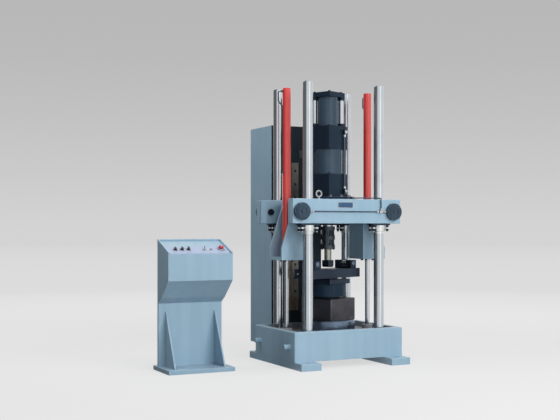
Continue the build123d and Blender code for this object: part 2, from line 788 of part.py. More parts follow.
# Servo valve on a manifold, on the upper head's back face
with BuildPart() as servo_valve:
    valve_y = block_side / 2
    with BuildSketch(turned_plane(upper_block_bottom + valve_block_rise)):
        with Locations((valve_offset, valve_y + valve_block_depth / 2)):
            Rectangle(valve_block_length, valve_block_depth)
    extrude(amount=valve_block_length)
    with BuildSketch(turned_plane(upper_block_bottom + valve_block_rise + 20)):
        with Locations((valve_offset, valve_y + valve_block_depth + valve_body_depth / 2)):
            RectangleRounded(valve_body_length, valve_body_depth, 10)
    extrude(amount=valve_body_height)
servo_valve.part.label = "servo_valve"
export_step(servo_valve.part, "parts/servo_valve.step")

# Eyebolts beside the actuator flange
with BuildPart() as eyebolts:
    ring_z = head_top + 16 + eye_ring_radius + eye_wire_radius
    for place in (-1, 1):
        with BuildSketch(Plane.XY.offset(head_top)):
            with Locations((place * eye_x, place * eye_y)):
                Circle(20)
        extrude(amount=8)
        with BuildSketch(Plane.XY.offset(head_top + 8)):
            with Locations((place * eye_x, place * eye_y)):
                Circle(9)
        extrude(amount=14)
        with Locations(Plane(origin=(place * eye_x, place * eye_y, ring_z), z_dir=(0, -1, 0)).location):
            Torus(eye_ring_radius, eye_wire_radius)
eyebolts.part.label = "eyebolts"
export_step(eyebolts.part, "parts/eyebolts.step")

# Piston rod: one turned piece with the piston at mid-height
with BuildPart() as piston_rod:
    with BuildSketch(Plane.XZ):
        with BuildLine():
            Polyline(
                (0, coupling_top),
                (rod_radius, coupling_top),
                (rod_radius, piston_z),
                (piston_radius, piston_z),
                (piston_radius, piston_z + piston_height),
                (rod_radius, piston_z + piston_height),
                (rod_radius, plate_bottom - rod_stroke - 30),
                (0, plate_bottom - rod_stroke - 30),
                close=True,
            )
        make_face()
    revolve(axis=Axis.Z)
piston_rod.part.label = "piston_rod"
export_step(piston_rod.part, "parts/piston_rod.step")

# Coupling: a turned piece with three flanges and the long bolts that draw it together
coupling_step = (coupling_top - coupling_bottom - coupling_flange) / 2
with BuildPart() as grip_coupling:
    with BuildSketch(Plane.XY.offset(coupling_bottom)):
        Circle(coupling_waist)
    extrude(amount=coupling_top - coupling_bottom)
    for step in range(3):
        with BuildSketch(Plane.XY.offset(coupling_bottom + step * coupling_step)):
            Circle(coupling_radius)
        extrude(amount=coupling_flange)
    with BuildSketch(Plane.XY.offset(coupling_bottom - 6)):
        with PolarLocations(coupling_bolt_pitch_radius, 8):
            Circle(coupling_bolt_radius)
    extrude(amount=coupling_top - coupling_bottom)
    for step in range(2):
        with BuildSketch(Plane.XY.offset(coupling_bottom + coupling_flange + step * coupling_step)):
            with PolarLocations(coupling_bolt_pitch_radius, 8):
                RegularPolygon(coupling_nut_radius, 6)
        extrude(amount=16)
grip_coupling.part.label = "grip_coupling"
export_step(grip_coupling.part, "parts/grip_coupling.step")

with BuildPart() as loading_ram:
    with BuildSketch(Plane.XY.offset(ram_bottom)):
        Circle(ram_radius)
    extrude(amount=coupling_bottom - ram_bottom)
loading_ram.part.label = "loading_ram"
export_step(loading_ram.part, "parts/loading_ram.step")

# Loading nose: a block whose lower edge is rounded along the fixture's width
with BuildPart() as loading_nose:
    with BuildSketch(turned_plane(nose_bottom)):
        Rectangle(nose_side, nose_side)
    extrude(amount=ram_bottom - nose_bottom)
    nose_edges = loading_nose.edges().group_by(Axis.Z)[0]
    across = turned_plane(0).y_dir
    fillet([e for e in nose_edges if abs((e % 0.5).dot(across)) > 0.9], radius=nose_tip_radius)
loading_nose.part.label = "loading_nose"
export_step(loading_nose.part, "parts/loading_nose.step")

# Fixture stack: round foot, square support block, load cell and adapter plate
with BuildPart() as load_base_disc:
    with BuildSketch(Plane.XY.offset(tray_floor)):
        Circle(disc_radius)
    extrude(amount=disc_height)
    chamfer(load_base_disc.edges().group_by(Axis.Z)[-1], length=8)
load_base_disc.part.label = "load_base_disc"
export_step(load_base_disc.part, "parts/load_base_disc.step")

with BuildPart() as support_block:
    with BuildSketch(turned_plane(disc_top)):
        Rectangle(support_side, support_side)
    extrude(amount=support_height)
    chamfer(support_block.edges().group_by(Axis.Z)[-1], length=6)
    chamfer(support_block.edges().filter_by(Axis.Z), length=6)
support_block.part.label = "support_block"
export_step(support_block.part, "parts/support_block.step")

with BuildPart() as load_cell:
    with BuildSketch(Plane.XY.offset(support_top)):
        Circle(cell_waist)
    extrude(amount=cell_step)
    with BuildSketch(Plane.XY.offset(support_top + cell_step)):
        Circle(cell_radius)
    extrude(amount=cell_height)
    chamfer(load_cell.edges().filter_by(GeomType.CIRCLE).group_by(Axis.Z)[-1], length=5)
load_cell.part.label = "load_cell"
export_step(load_cell.part, "parts/load_cell.step")

with BuildPart() as adapter_plate:
    with BuildSketch(turned_plane(cell_top)):
        RectangleRounded(adapter_side, adapter_side, 12)
    extrude(amount=adapter_height)
    with BuildSketch(Plane.XY.offset(cell_top + adapter_height)):
        Circle(spacer_radius)
    extrude(amount=spacer_height)
adapter_plate.part.label = "adapter_plate"
export_step(adapter_plate.part, "parts/adapter_plate.step")

# Bending table with a T-slot along its whole length
with BuildPart() as bending_table:
    with BuildSketch(turned_plane(adapter_top)):
        Rectangle(table_length, table_width)
    extrude(amount=table_height)
    chamfer(bending_table.edges().filter_by(Axis.Z), length=6)
    with BuildSketch(turned_plane(table_top)):
        Rectangle(table_length + 2, slot_width)
    extrude(amount=-slot_depth, mode=Mode.SUBTRACT)
    with BuildSketch(turned_plane(table_top - slot_depth)):
        Rectangle(table_length + 2, slot_foot_width)
    extrude(amount=slot_foot_height, mode=Mode.SUBTRACT)
bending_table.part.label = "bending_table"
export_step(bending_table.part, "parts/bending_table.step")

# Roller cradles: two cheeks on a common floor, keyed in the T-slot; each holds a loose roller
cheek_y = (cradle_width - cheek_width) / 2
for name, side in (("left", -1), ("right", 1)):
    centre = side * cradle_x
    with BuildPart() as roller_cradle:
        with BuildSketch(turned_plane(table_top + rest_gap)):
            with Locations((centre, 0)):
                Rectangle(cradle_length, cradle_width)
        extrude(amount=cradle_floor)
        with BuildSketch(turned_plane(table_top + rest_gap)):
            with Locations((centre, -cheek_y), (centre, cheek_y)):
                Rectangle(cradle_length, cheek_width)
        extrude(amount=cradle_height)
        with BuildSketch(turned_plane(table_top + rest_gap)):
            with Locations((centre, 0)):
                Rectangle(cradle_length, slot_width - 2 * rest_gap)
        extrude(amount=-(slot_depth - slot_foot_height) - 2 * rest_gap)
        with BuildSketch(turned_plane(table_top - slot_depth + slot_foot_height - rest_gap)):
            with Locations((centre, 0)):
                Rectangle(cradle_length, slot_foot_width - 2 * rest_gap)
        extrude(amount=-(slot_foot_height - 2 * rest_gap))
        side_face = Plane(
            origin=turned_plane(table_top + roller_z).from_local_coords((centre, 0, 0)),
            x_dir=turned_plane(0).x_dir,
            z_dir=turned_plane(0).y_dir,
        )
        with BuildSketch(side_face):
            Circle(journal_radius + slide_gap)
        extrude(amount=cradle_width / 2 + 1, both=True, mode=Mode.SUBTRACT)
    roller_cradle.part.label = f"roller_cradle_{name}"
    export_step(roller_cradle.part, f"parts/roller_cradle_{name}.step")

    roller_half = cradle_width / 2 - cheek_width - rest_gap
    with BuildPart() as support_roller:
        with BuildSketch(side_face):
            Circle(roller_radius)
        extrude(amount=roller_half, both=True)
        with BuildSketch(side_face):
            Circle(journal_radius)
        extrude(amount=cradle_width / 2 - 4, both=True)
    support_roller.part.label = f"support_roller_{name}"
    export_step(support_roller.part, f"parts/support_roller_{name}.step")

# Cabinet: a welded shell on the base's back face, with a dark front panel and a back door
cabinet_x = (cabinet_left + cabinet_right) / 2
cabinet_width = cabinet_right - cabinet_left
cabinet_height = cabinet_top - cabinet_bottom
cabinet_mid_z = (cabinet_top + cabinet_bottom) / 2
with BuildPart() as cabinet_shell:
    with BuildSketch(Plane.XY.offset(cabinet_bottom)):
        with Locations((cabinet_x, (base_back + front_panel_thickness + cabinet_back) / 2)):
            Rectangle(cabinet_width, cabinet_back - base_back - front_panel_thickness)
    extrude(amount=cabinet_height)
    with BuildSketch(Plane.XZ.offset(-base_back - front_panel_thickness)):
        with Locations((cabinet_x, cabinet_mid_z)):
            Rectangle(cabinet_width - 2 * cabinet_wall, cabinet_height - 2 * cabinet_wall)
    extrude(amount=-(cabinet_back - base_back - front_panel_thickness - cabinet_wall), mode=Mode.SUBTRACT)
    with BuildSketch(Plane.XY):
        with Locations((cabinet_x, (base_back + cabinet_back) / 2)):
            Rectangle(cabinet_width - 2 * plinth_inset, cabinet_back - base_back - 2 * plinth_inset)
    extrude(amount=cabinet_bottom)
cabinet_shell.part.label = "cabinet_shell"
export_step(cabinet_shell.part, "parts/cabinet_shell.step")

with BuildPart() as cabinet_front_panel:
    with BuildSketch(Plane.XZ.offset(-base_back)):
        with Locations((cabinet_x, cabinet_mid_z)):
            Rectangle(cabinet_width, cabinet_height)
    extrude(amount=-front_panel_thickness)
cabinet_front_panel.part.label = "cabinet_front_panel"
export_step(cabinet_front_panel.part, "parts/cabinet_front_panel.step")

# Guide rail on the cabinet's front: a backing plate and a bright drilled strip
strip_x = rail_right - strip_width / 2
rail_face = -base_back + rail_thickness
with BuildPart() as guide_rail:
    with BuildSketch(Plane.XZ.offset(-base_back)):
        with Locations(((rail_left + rail_right) / 2, (rail_bottom + rail_top) / 2)):
            Rectangle(rail_right - rail_left, rail_top - rail_bottom)
    extrude(amount=rail_thickness)
guide_rail.part.label = "guide_rail"
export_step(guide_rail.part, "parts/guide_rail.step")

rail_bolt_zs = [strip_bottom + 61 + n * rail_pitch for n in range(10)]
with BuildPart() as guide_strip:
    with BuildSketch(Plane.XZ.offset(rail_face)):
        with Locations((strip_x, (strip_bottom + rail_top) / 2)):
            Rectangle(strip_width, rail_top - strip_bottom)
        with Locations(*[(strip_x, z) for z in rail_bolt_zs]):
            Circle(13, mode=Mode.SUBTRACT)
    extrude(amount=strip_thickness)
    with BuildSketch(Plane.XZ.offset(rail_face)):
        with Locations((rail_right - stop_pin_radius - 1, (stop_pin_bottom + strip_bottom) / 2)):
            Rectangle(2 * stop_pin_radius, strip_bottom - stop_pin_bottom)
    extrude(amount=strip_thickness)
guide_strip.part.label = "guide_strip"
export_step(guide_strip.part, "parts/guide_strip.step")

with BuildPart() as guide_rail_bolts:
    with BuildSketch(Plane.XZ.offset(rail_face)):
        with Locations(*[(strip_x, z) for z in rail_bolt_zs]):
            Circle(12)
            RegularPolygon(6, 6, mode=Mode.SUBTRACT)
    extrude(amount=strip_thickness - 3)
guide_rail_bolts.part.label = "guide_rail_bolts"
export_step(guide_rail_bolts.part, "parts/guide_rail_bolts.step")

# Limit switches on the cabinet's front, beside the rail
with BuildPart() as limit_switches:
    for switch_z in (switch_low_z, switch_high_z):
        with BuildSketch(Plane.XZ.offset(-base_back)):
            with Locations((switch_x, switch_z)):
                RectangleRounded(switch_width, switch_height, 4)
        extrude(amount=switch_depth)
        with BuildSketch(Plane.YZ.offset(switch_x + switch_width / 2)):
            with Locations((base_back - switch_depth / 2, switch_z + 20)):
                Circle(5)
        extrude(amount=switch_cable_length)
limit_switches.part.label = "limit_switches"
export_step(limit_switches.part, "parts/limit_switches.step")

# Console: base plate, flat pedestal with two gussets, and the desk-like head
pedestal_front = console_back - pedestal_depth
with BuildPart() as console_base_plate:
    with BuildSketch(Plane.XY):
        with Locations((console_x, (console_base_front + console_base_back) / 2)):
            Rectangle(2 * console_base_half_width, console_base_back - console_base_front)
    extrude(amount=console_base_thickness)
    chamfer(console_base_plate.edges().group_by(Axis.Z)[-1], length=3)
console_base_plate.part.label = "console_base_plate"
export_step(console_base_plate.part, "parts/console_base_plate.step")

with BuildPart() as console_pedestal:
    with BuildSketch(Plane.XY.offset(console_base_thickness)):
        with Locations((console_x, (pedestal_front + console_back) / 2)):
            Rectangle(2 * console_half_width, pedestal_depth)
    extrude(amount=pedestal_top - console_base_thickness)
    for side in (-1, 1):
        gusset_x = console_x + side * (console_half_width - gusset_inset)
        with BuildSketch(Plane.YZ.offset(gusset_x)):
            with BuildLine():
                Polyline(
                    (pedestal_front + 1, console_base_thickness),
                    (pedestal_front - gusset_foot, console_base_thickness),
                    (pedestal_front - gusset_foot, console_base_thickness + 14),
                    (pedestal_front - 10, console_base_thickness + gusset_height),
                    (pedestal_front + 1, console_base_thickness + gusset_height),
                    close=True,
                )
            make_face()
        extrude(amount=gusset_thickness / 2, both=True)
console_pedestal.part.label = "console_pedestal"
export_step(console_pedestal.part, "parts/console_pedestal.step")

slope_rise = cheek_rise / cos(radians(panel_angle))
slope_length = (console_back - console_front) / cos(radians(panel_angle))
with BuildPart() as console_housing:
    with BuildSketch(Plane.YZ.offset(console_x)):
        with BuildLine():
            Polyline(
                (console_back, pedestal_top),
                (pedestal_front, pedestal_top),
                (undercut_y, undercut_z),
                (console_front, console_front_bottom),
                (console_front, panel_front_z + slope_rise),
                (console_back, panel_back_z + slope_rise),
                close=True,
            )
        make_face()
    extrude(amount=console_half_width, both=True)
    with BuildSketch(panel_plane(0)):
        with Locations((0, (slope_length - console_wall) / 2 - 10)):
            Rectangle(2 * (console_half_width - cheek_thickness), slope_length - console_wall + 20)
    extrude(amount=4 * cheek_rise, mode=Mode.SUBTRACT)
    with BuildSketch(Plane.YZ.offset(console_x)):
        with BuildLine():
            Polyline(
                (console_back - console_wall, pedestal_top + 40),
                (undercut_y + 10, undercut_z + 22),
                (console_front + console_wall, console_front_bottom + 18),
                (console_front + console_wall, panel_front_z - 12),
                (console_back - console_wall, panel_back_z - 12),
                close=True,
            )
        make_face()
    extrude(amount=console_half_width - cheek_thickness - 4, both=True, mode=Mode.SUBTRACT)
    with BuildSketch(panel_plane(0)):
        with Locations((0, 8 + control_plate_length / 2)):
            Rectangle(2 * (console_half_width - cheek_thickness) - 16, control_plate_length - 16)
    extrude(amount=-16, mode=Mode.SUBTRACT)
console_housing.part.label = "console_housing"
export_step(console_housing.part, "parts/console_housing.step")

control_places = [(x, control_row) for x in (*knob_places, key_place, lamp_place)] + [(estop_place, estop_row)]
with BuildPart() as control_panel:
    with BuildSketch(panel_plane(0)):
        with Locations((0, 8 + control_plate_length / 2)):
            Rectangle(2 * (console_half_width - cheek_thickness) - 4, control_plate_length)
        with Locations(*control_places):
            Circle(control_shaft_radius + rest_gap, mode=Mode.SUBTRACT)
    extrude(amount=control_plate_thickness)
control_panel.part.label = "control_panel"
export_step(control_panel.part, "parts/control_panel.step")

# Bezels round the controls, and a small lamp among them
with BuildPart() as control_bezels:
    with BuildSketch(panel_plane(control_plate_thickness)):
        with Locations(*control_places[:3], control_places[5]):
            Circle(bezel_radius)
        with Locations(*control_places[3:5]):
            Circle(bezel_radius - 5)
        with Locations(*control_places[:4], control_places[5]):
            Circle(control_shaft_radius + rest_gap, mode=Mode.SUBTRACT)
    extrude(amount=bezel_height)
control_bezels.part.label = "control_bezels"
export_step(control_bezels.part, "parts/control_bezels.step")


def control_shaft():
    """Depth of a control's shaft below its cap: through bezel and plate into the housing."""
    return bezel_height + control_plate_thickness + 20


cap_plane = panel_plane(control_plate_thickness + bezel_height + rest_gap)
for number, place in enumerate(knob_places, start=1):
    with BuildPart() as selector_knob:
        with BuildSketch(cap_plane):
            with Locations((place, control_row)):
                Circle(knob_radius)
        extrude(amount=6)
        with BuildSketch(cap_plane):
            with Locations((place, control_row)):
                RectangleRounded(10, 2 * knob_radius - 1, 4)
        extrude(amount=knob_height)
        with BuildSketch(cap_plane):
            with Locations((place, control_row)):
                Circle(control_shaft_radius)
        extrude(amount=-control_shaft())
    selector_knob.part.label = f"selector_knob_{number}"
    export_step(selector_knob.part, f"parts/selector_knob_{number}.step")

with BuildPart() as key_switch:
    with BuildSketch(cap_plane):
        with Locations((key_place, control_row)):
            Circle(control_shaft_radius + 1)
    extrude(amount=5)
    with BuildSketch(cap_plane):
        with Locations((key_place, control_row)):
            Rectangle(3, 14)
    extrude(amount=22)
    with BuildSketch(cap_plane):
        with Locations((key_place, control_row)):
            Circle(control_shaft_radius)
    extrude(amount=-control_shaft())
key_switch.part.label = "key_switch"
export_step(key_switch.part, "parts/key_switch.step")

with BuildPart() as emergency_stop:
    with BuildSketch(cap_plane.offset(estop_travel)):
        with Locations((estop_place, estop_row)):
            Circle(estop_radius)
    extrude(amount=estop_height)
    cap_axis = Axis(cap_plane.origin, cap_plane.z_dir)
    fillet(emergency_stop.edges().group_by(cap_axis)[-1], radius=6)
    with BuildSketch(cap_plane.offset(estop_travel)):
        with Locations((estop_place, estop_row)):
            Circle(control_shaft_radius)
    extrude(amount=-control_shaft() - estop_travel)
emergency_stop.part.label = "emergency_stop"
export_step(emergency_stop.part, "parts/emergency_stop.step")
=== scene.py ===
# %% [markdown]
# # A servo-hydraulic testing machine, dressed for a photograph
# The machine itself arrives as solid geometry: four ground columns, a heavy crosshead with an
# actuator on it, two red lift cylinders, a bending fixture, a tall cabinet and a control console.
# This lesson gives those solids their finishes, adds the small hardware that a solid model leaves
# out, and lights the whole as a studio would. Everything is in metres, with Z up, and the origin
# lies on the floor under the load axis.

import math

import bmesh
import bpy
from mathutils import Matrix, Vector


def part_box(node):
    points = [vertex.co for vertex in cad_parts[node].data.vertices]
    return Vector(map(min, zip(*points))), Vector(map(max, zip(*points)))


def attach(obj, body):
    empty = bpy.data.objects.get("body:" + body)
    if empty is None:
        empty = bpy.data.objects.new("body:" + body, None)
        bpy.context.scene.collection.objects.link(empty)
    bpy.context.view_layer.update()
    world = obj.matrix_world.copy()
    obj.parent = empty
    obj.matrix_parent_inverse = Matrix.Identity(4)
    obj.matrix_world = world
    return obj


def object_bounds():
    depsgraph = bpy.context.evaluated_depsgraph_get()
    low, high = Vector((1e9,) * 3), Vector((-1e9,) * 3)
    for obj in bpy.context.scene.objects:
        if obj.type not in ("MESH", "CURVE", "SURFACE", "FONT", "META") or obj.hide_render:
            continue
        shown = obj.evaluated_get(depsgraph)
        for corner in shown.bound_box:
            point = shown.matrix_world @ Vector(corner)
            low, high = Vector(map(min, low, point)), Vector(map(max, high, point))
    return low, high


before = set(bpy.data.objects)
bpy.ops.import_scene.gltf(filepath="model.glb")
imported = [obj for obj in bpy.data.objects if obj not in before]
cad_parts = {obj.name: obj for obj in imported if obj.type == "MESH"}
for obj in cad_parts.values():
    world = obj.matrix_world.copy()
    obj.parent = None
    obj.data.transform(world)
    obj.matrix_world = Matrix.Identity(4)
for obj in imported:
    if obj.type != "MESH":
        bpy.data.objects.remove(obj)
scene = bpy.context.scene
cad_low, cad_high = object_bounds()
print("nodes", len(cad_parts), "from", tuple(cad_low), "to", tuple(cad_high))

# %% [markdown]
# ## The camera
# The picture was taken from the machine's front left, at about chest height, with the lens level,
# so that upright edges stay upright. A level camera that looks at the horizon would put it in the
# middle of the frame. Shifting the lens a little moves it instead of tilting the camera, which
# would make the columns converge.

# %% Camera
VIEW_DIRECTION = Vector((0.438, 0.899, 0.0))
CAMERA_PLACE = (-4.408, -8.040, 1.225)
SENSOR_WIDTH = 36.0
FOCAL_LENGTH = 63.77
HORIZON_SHIFT = 0.0321
camera_data = bpy.data.cameras.new("camera")
camera_data.sensor_width = SENSOR_WIDTH
camera_data.lens = FOCAL_LENGTH
camera_data.shift_y = HORIZON_SHIFT
camera = bpy.data.objects.new("camera", camera_data)
scene.collection.objects.link(camera)
camera.location = CAMERA_PLACE
camera.rotation_euler = VIEW_DIRECTION.to_track_quat("-Z", "Y").to_euler()
scene.camera = camera
print("camera", tuple(camera.location), "lens", camera_data.lens)

# %% [markdown]
# ## Node helpers
# Shader trees are easier to read when each node takes one line. `add` makes a node and fills its
# inputs, with a plain value or with another node's output, and a short function for each common
# node returns the output that the next line needs. `shader_group` opens a node group and declares
# its sockets, which Blender keeps on the group's interface.

# %% Node helpers


def feed(tree, source, target):
    """Link an input to an output socket, or set it to a plain value."""
    if isinstance(source, bpy.types.NodeSocket):
        tree.links.new(source, target)
    else:
        target.default_value = source


def add(tree, kind, values=None, **settings):
    """Make a node, set its attributes, and feed the inputs named in values."""
    made = tree.nodes.new(kind)
    for key, value in settings.items():
        setattr(made, key, value)
    for key, value in (values or {}).items():
        feed(tree, value, made.inputs[key])
    return made


def shader_group(name, inputs, outputs):
    """Open a group. Returns its tree, the sockets it is given and those it has to feed."""
    tree = bpy.data.node_groups.new(name, "ShaderNodeTree")
    for label, kind, default in inputs:
        socket = tree.interface.new_socket(label, in_out="INPUT", socket_type="NodeSocket" + kind)
        socket.default_value = default
    for label, kind in outputs:
        tree.interface.new_socket(label, in_out="OUTPUT", socket_type="NodeSocket" + kind)
    given = tree.nodes.new("NodeGroupInput").outputs
    return tree, given, tree.nodes.new("NodeGroupOutput").inputs


def math_node(tree, operation, first, second, clamp=False):
    """A Math node on two sockets or numbers. Returns its output."""
    values = {0: first, 1: second}
    return add(tree, "ShaderNodeMath", values, operation=operation, use_clamp=clamp).outputs[0]


def vector_node(tree, operation, first, second, output=0):
    """A Vector Math node on two sockets or vectors. Returns one of its outputs."""
    values = {0: first, 1: second}
    return add(tree, "ShaderNodeVectorMath", values, operation=operation).outputs[output]


def blend_colours(tree, factor, first, second):
    """Mix two colour sockets by a factor socket. Returns the mixed colour."""
    values = {"Factor": factor, 6: first, 7: second}
    return add(tree, "ShaderNodeMix", values, data_type="RGBA", clamp_factor=True).outputs[2]


def remap(tree, source, low, high, to_low=0.0, to_high=1.0):
    """Stretch a value from low..high to to_low..to_high, clamped."""
    values = {"Value": source, 1: low, 2: high, 3: to_low, 4: to_high}
    return add(tree, "ShaderNodeMapRange", values).outputs[0]


def noise(tree, place, scale, detail, roughness=0.5):
    """A noise over a vector socket. Returns its value."""
    values = {"Vector": place, "Scale": scale, "Detail": detail, "Roughness": roughness}
    return add(tree, "ShaderNodeTexNoise", values).outputs[0]


def bump(tree, height, strength, normal, depth):
    """Tilt a normal by a height that changes over the surface. Returns the new normal."""
    values = {"Height": height, "Strength": strength, "Normal": normal, "Distance": depth}
    return add(tree, "ShaderNodeBump", values).outputs[0]


def mix_shaders(tree, share, first, second):
    """Mix two shaders by a socket. Returns the mixed shader."""
    return add(tree, "ShaderNodeMixShader", {0: share, 1: first, 2: second}).outputs[0]


def object_place(tree):
    """The place on the surface, in the object's own metres."""
    return add(tree, "ShaderNodeTexCoord").outputs["Object"]


print("node helpers ready")

# %% [markdown]
# ## Rounded edges and edge wear
# No real edge is a knife edge. The solids have chamfers where they matter, and the Bevel node
# rounds the rest in shading only: its normal differs from the true one just near an edge. The
# same difference is a mask, where paint is thin and metal is rubbed bright.

# %% Edge group
tree, given, result = shader_group(
    "worn edge",
    [("Radius", "Float", 0.002), ("Patch Scale", "Float", 30.0)],
    [("Edge", "Float"), ("Normal", "Vector")],
)
rounded = add(tree, "ShaderNodeBevel", {"Radius": given["Radius"]}, samples=4).outputs[0]
true_normal = add(tree, "ShaderNodeNewGeometry").outputs["Normal"]
facing = vector_node(tree, "DOT_PRODUCT", rounded, true_normal, "Value")
turned_away = remap(tree, facing, 0.995, 0.86)
patches = noise(tree, object_place(tree), given["Patch Scale"], detail=5.0, roughness=0.65)
rubbed = remap(tree, patches, 0.40, 0.66)
feed(tree, math_node(tree, "MULTIPLY", turned_away, rubbed), result["Edge"])
feed(tree, rounded, result["Normal"])
edge_group = tree
print("group", tree.name)

# %% [markdown]
# ## Enamel on steel
# Machine paint is sprayed over filler: slightly uneven in colour over an arm's length, with a
# faint orange peel close up, rubbed at the edges, and dusty where it faces up. One group makes all
# of that from two paint colours, the colour under the paint, and the colour of the dust.

# %% Enamel group
SURFACE_OUTPUTS = [("Color", "Color"), ("Roughness", "Float"), ("Normal", "Vector")]
tree, given, result = shader_group(
    "machine enamel",
    [
        ("Paint", "Color", (0.3, 0.45, 0.55, 1.0)),
        ("Shade", "Color", (0.25, 0.38, 0.47, 1.0)),
        ("Rubbed", "Color", (0.5, 0.55, 0.58, 1.0)),
        ("Dust", "Color", (0.45, 0.44, 0.42, 1.0)),
        ("Gloss", "Float", 0.35),
        ("Wear", "Float", 0.5),
        ("Dust Amount", "Float", 0.2),
        ("Peel", "Float", 0.1),
    ],
    SURFACE_OUTPUTS,
)
place = object_place(tree)
clouds = noise(tree, place, scale=2.3, detail=4.0, roughness=0.55)
streaks = add(tree, "ShaderNodeMapping", {"Scale": (14.0, 14.0, 0.7), "Vector": place})
runs = noise(tree, streaks.outputs[0], scale=1.0, detail=3.0)
mottle = remap(tree, math_node(tree, "MULTIPLY", clouds, runs), 0.14, 0.40)
colour = blend_colours(tree, mottle, given["Paint"], given["Shade"])

edge = add(tree, "ShaderNodeGroup", node_tree=edge_group)
worn = math_node(tree, "MULTIPLY", edge.outputs["Edge"], given["Wear"])
colour = blend_colours(tree, worn, colour, given["Rubbed"])

true_normal = add(tree, "ShaderNodeNewGeometry").outputs["Normal"]
steepness = add(tree, "ShaderNodeSeparateXYZ", {0: true_normal}).outputs["Z"]
upward = remap(tree, steepness, 0.55, 0.95)
settled = remap(tree, clouds, 0.30, 0.62, 0.35, 1.0)
dusty = math_node(tree, "MULTIPLY", upward, settled)
dusty = math_node(tree, "MULTIPLY", dusty, given["Dust Amount"])
colour = blend_colours(tree, dusty, colour, given["Dust"])
feed(tree, colour, result["Color"])

smears = remap(tree, runs, 0.3, 0.7, -0.04, 0.06)
rough = math_node(tree, "ADD", given["Gloss"], smears)
rough = math_node(tree, "ADD", rough, math_node(tree, "MULTIPLY", dusty, 0.5), clamp=True)
feed(tree, rough, result["Roughness"])
peel = noise(tree, place, scale=420.0, detail=1.0)
feed(tree, bump(tree, peel, given["Peel"], edge.outputs["Normal"], depth=0.0006), result["Normal"])
enamel_group = tree
print("group", tree.name)

# %% [markdown]
# ## Machined and handled metal
# Turned and ground steel has fine lines along the cut, which stretch its highlights, and a film of
# oil that clouds it unevenly. Stretching a noise along the cut gives the lines, and a slow noise
# gives the film. The stretch is an input, because a turned part's lines run round it and a
# planed part's run along it.

# %% Metal group
tree, given, result = shader_group(
    "machined metal",
    [
        ("Metal", "Color", (0.6, 0.6, 0.6, 1.0)),
        ("Tarnish", "Color", (0.3, 0.28, 0.26, 1.0)),
        ("Bright", "Color", (0.8, 0.8, 0.8, 1.0)),
        ("Cut", "Vector", (8.0, 8.0, 900.0)),
        ("Film", "Float", 0.3),
        ("Polish", "Float", 0.25),
        ("Grain", "Float", 0.1),
        ("Wear", "Float", 0.4),
    ],
    SURFACE_OUTPUTS,
)
place = object_place(tree)
along_cut = vector_node(tree, "MULTIPLY", place, given["Cut"])
lines = noise(tree, along_cut, scale=1.0, detail=3.0, roughness=0.6)
film = remap(tree, noise(tree, place, scale=5.0, detail=6.0, roughness=0.6), 0.42, 0.70)
clouded = math_node(tree, "MULTIPLY", film, given["Film"])
colour = blend_colours(tree, clouded, given["Metal"], given["Tarnish"])
edge = add(tree, "ShaderNodeGroup", {"Radius": 0.0012}, node_tree=edge_group)
worn = math_node(tree, "MULTIPLY", edge.outputs["Edge"], given["Wear"])
feed(tree, blend_colours(tree, worn, colour, given["Bright"]), result["Color"])
line_rough = remap(tree, lines, 0.3, 0.7, -0.05, 0.07)
rough = math_node(tree, "ADD", given["Polish"], line_rough)
rough = math_node(tree, "ADD", rough, math_node(tree, "MULTIPLY", clouded, 0.35), clamp=True)
feed(tree, rough, result["Roughness"])
feed(tree, bump(tree, lines, given["Grain"], edge.outputs["Normal"], depth=0.0003), result["Normal"])
metal_group = tree
print("group", tree.name)

# %% [markdown]
# ## Moulded plastic
# Knobs and switches are moulded: one colour all through, a very fine even texture, and a little
# polish where fingers go.

# %% Plastic group
tree, given, result = shader_group(
    "moulded plastic",
    [
        ("Plastic", "Color", (0.02, 0.02, 0.02, 1.0)),
        ("Scuffed", "Color", (0.06, 0.06, 0.06, 1.0)),
        ("Gloss", "Float", 0.3),
        ("Texture", "Float", 0.1),
    ],
    SURFACE_OUTPUTS,
)
place = object_place(tree)
scuffs = remap(tree, noise(tree, place, scale=90.0, detail=5.0), 0.5, 0.75)
colour = blend_colours(tree, scuffs, given["Plastic"], given["Scuffed"])
feed(tree, colour, result["Color"])
duller = math_node(tree, "MULTIPLY", scuffs, 0.2)
feed(tree, math_node(tree, "ADD", given["Gloss"], duller, clamp=True), result["Roughness"])
stipple = noise(tree, place, scale=1500.0, detail=1.0)
edge = add(tree, "ShaderNodeGroup", {"Radius": 0.0008}, node_tree=edge_group)
feed(tree, bump(tree, stipple, given["Texture"], edge.outputs["Normal"], depth=0.0002), result["Normal"])
plastic_group = tree
print("group", tree.name)

# %% [markdown]
# ## Finishes
# Each finish is one Principled shader fed by one of the groups. What changes over the surface
# comes from the group, and what is the same everywhere, such as how metallic it is, is set on the
# shader itself. A paint needs four colours: its two shades, what shows where it is rubbed, and
# its dust. A metal needs three: clean, tarnished and worn bright.

# %% Finish helpers
finishes = {}


def rgba(red, green, blue):
    """A colour socket's value from three numbers."""
    return (red, green, blue, 1.0)


def grey(level):
    """A colour socket's value with equal red, green and blue."""
    return rgba(level, level, level)


def finish(name, group, values, metallic=0.0, coat=0.0, coat_roughness=0.1, specular=0.5):
    """A material whose colour, roughness and normal come from a group with these values."""
    made = bpy.data.materials.new(name)
    made.use_nodes = True
    tree = made.node_tree
    shader = tree.nodes["Principled BSDF"]
    surface = add(tree, "ShaderNodeGroup", values, node_tree=group)
    feed(tree, surface.outputs["Color"], shader.inputs["Base Color"])
    feed(tree, surface.outputs["Roughness"], shader.inputs["Roughness"])
    feed(tree, surface.outputs["Normal"], shader.inputs["Normal"])
    shader.inputs["Metallic"].default_value = metallic
    shader.inputs["Coat Weight"].default_value = coat
    shader.inputs["Coat Roughness"].default_value = coat_roughness
    shader.inputs["Specular IOR Level"].default_value = specular
    finishes[name] = made


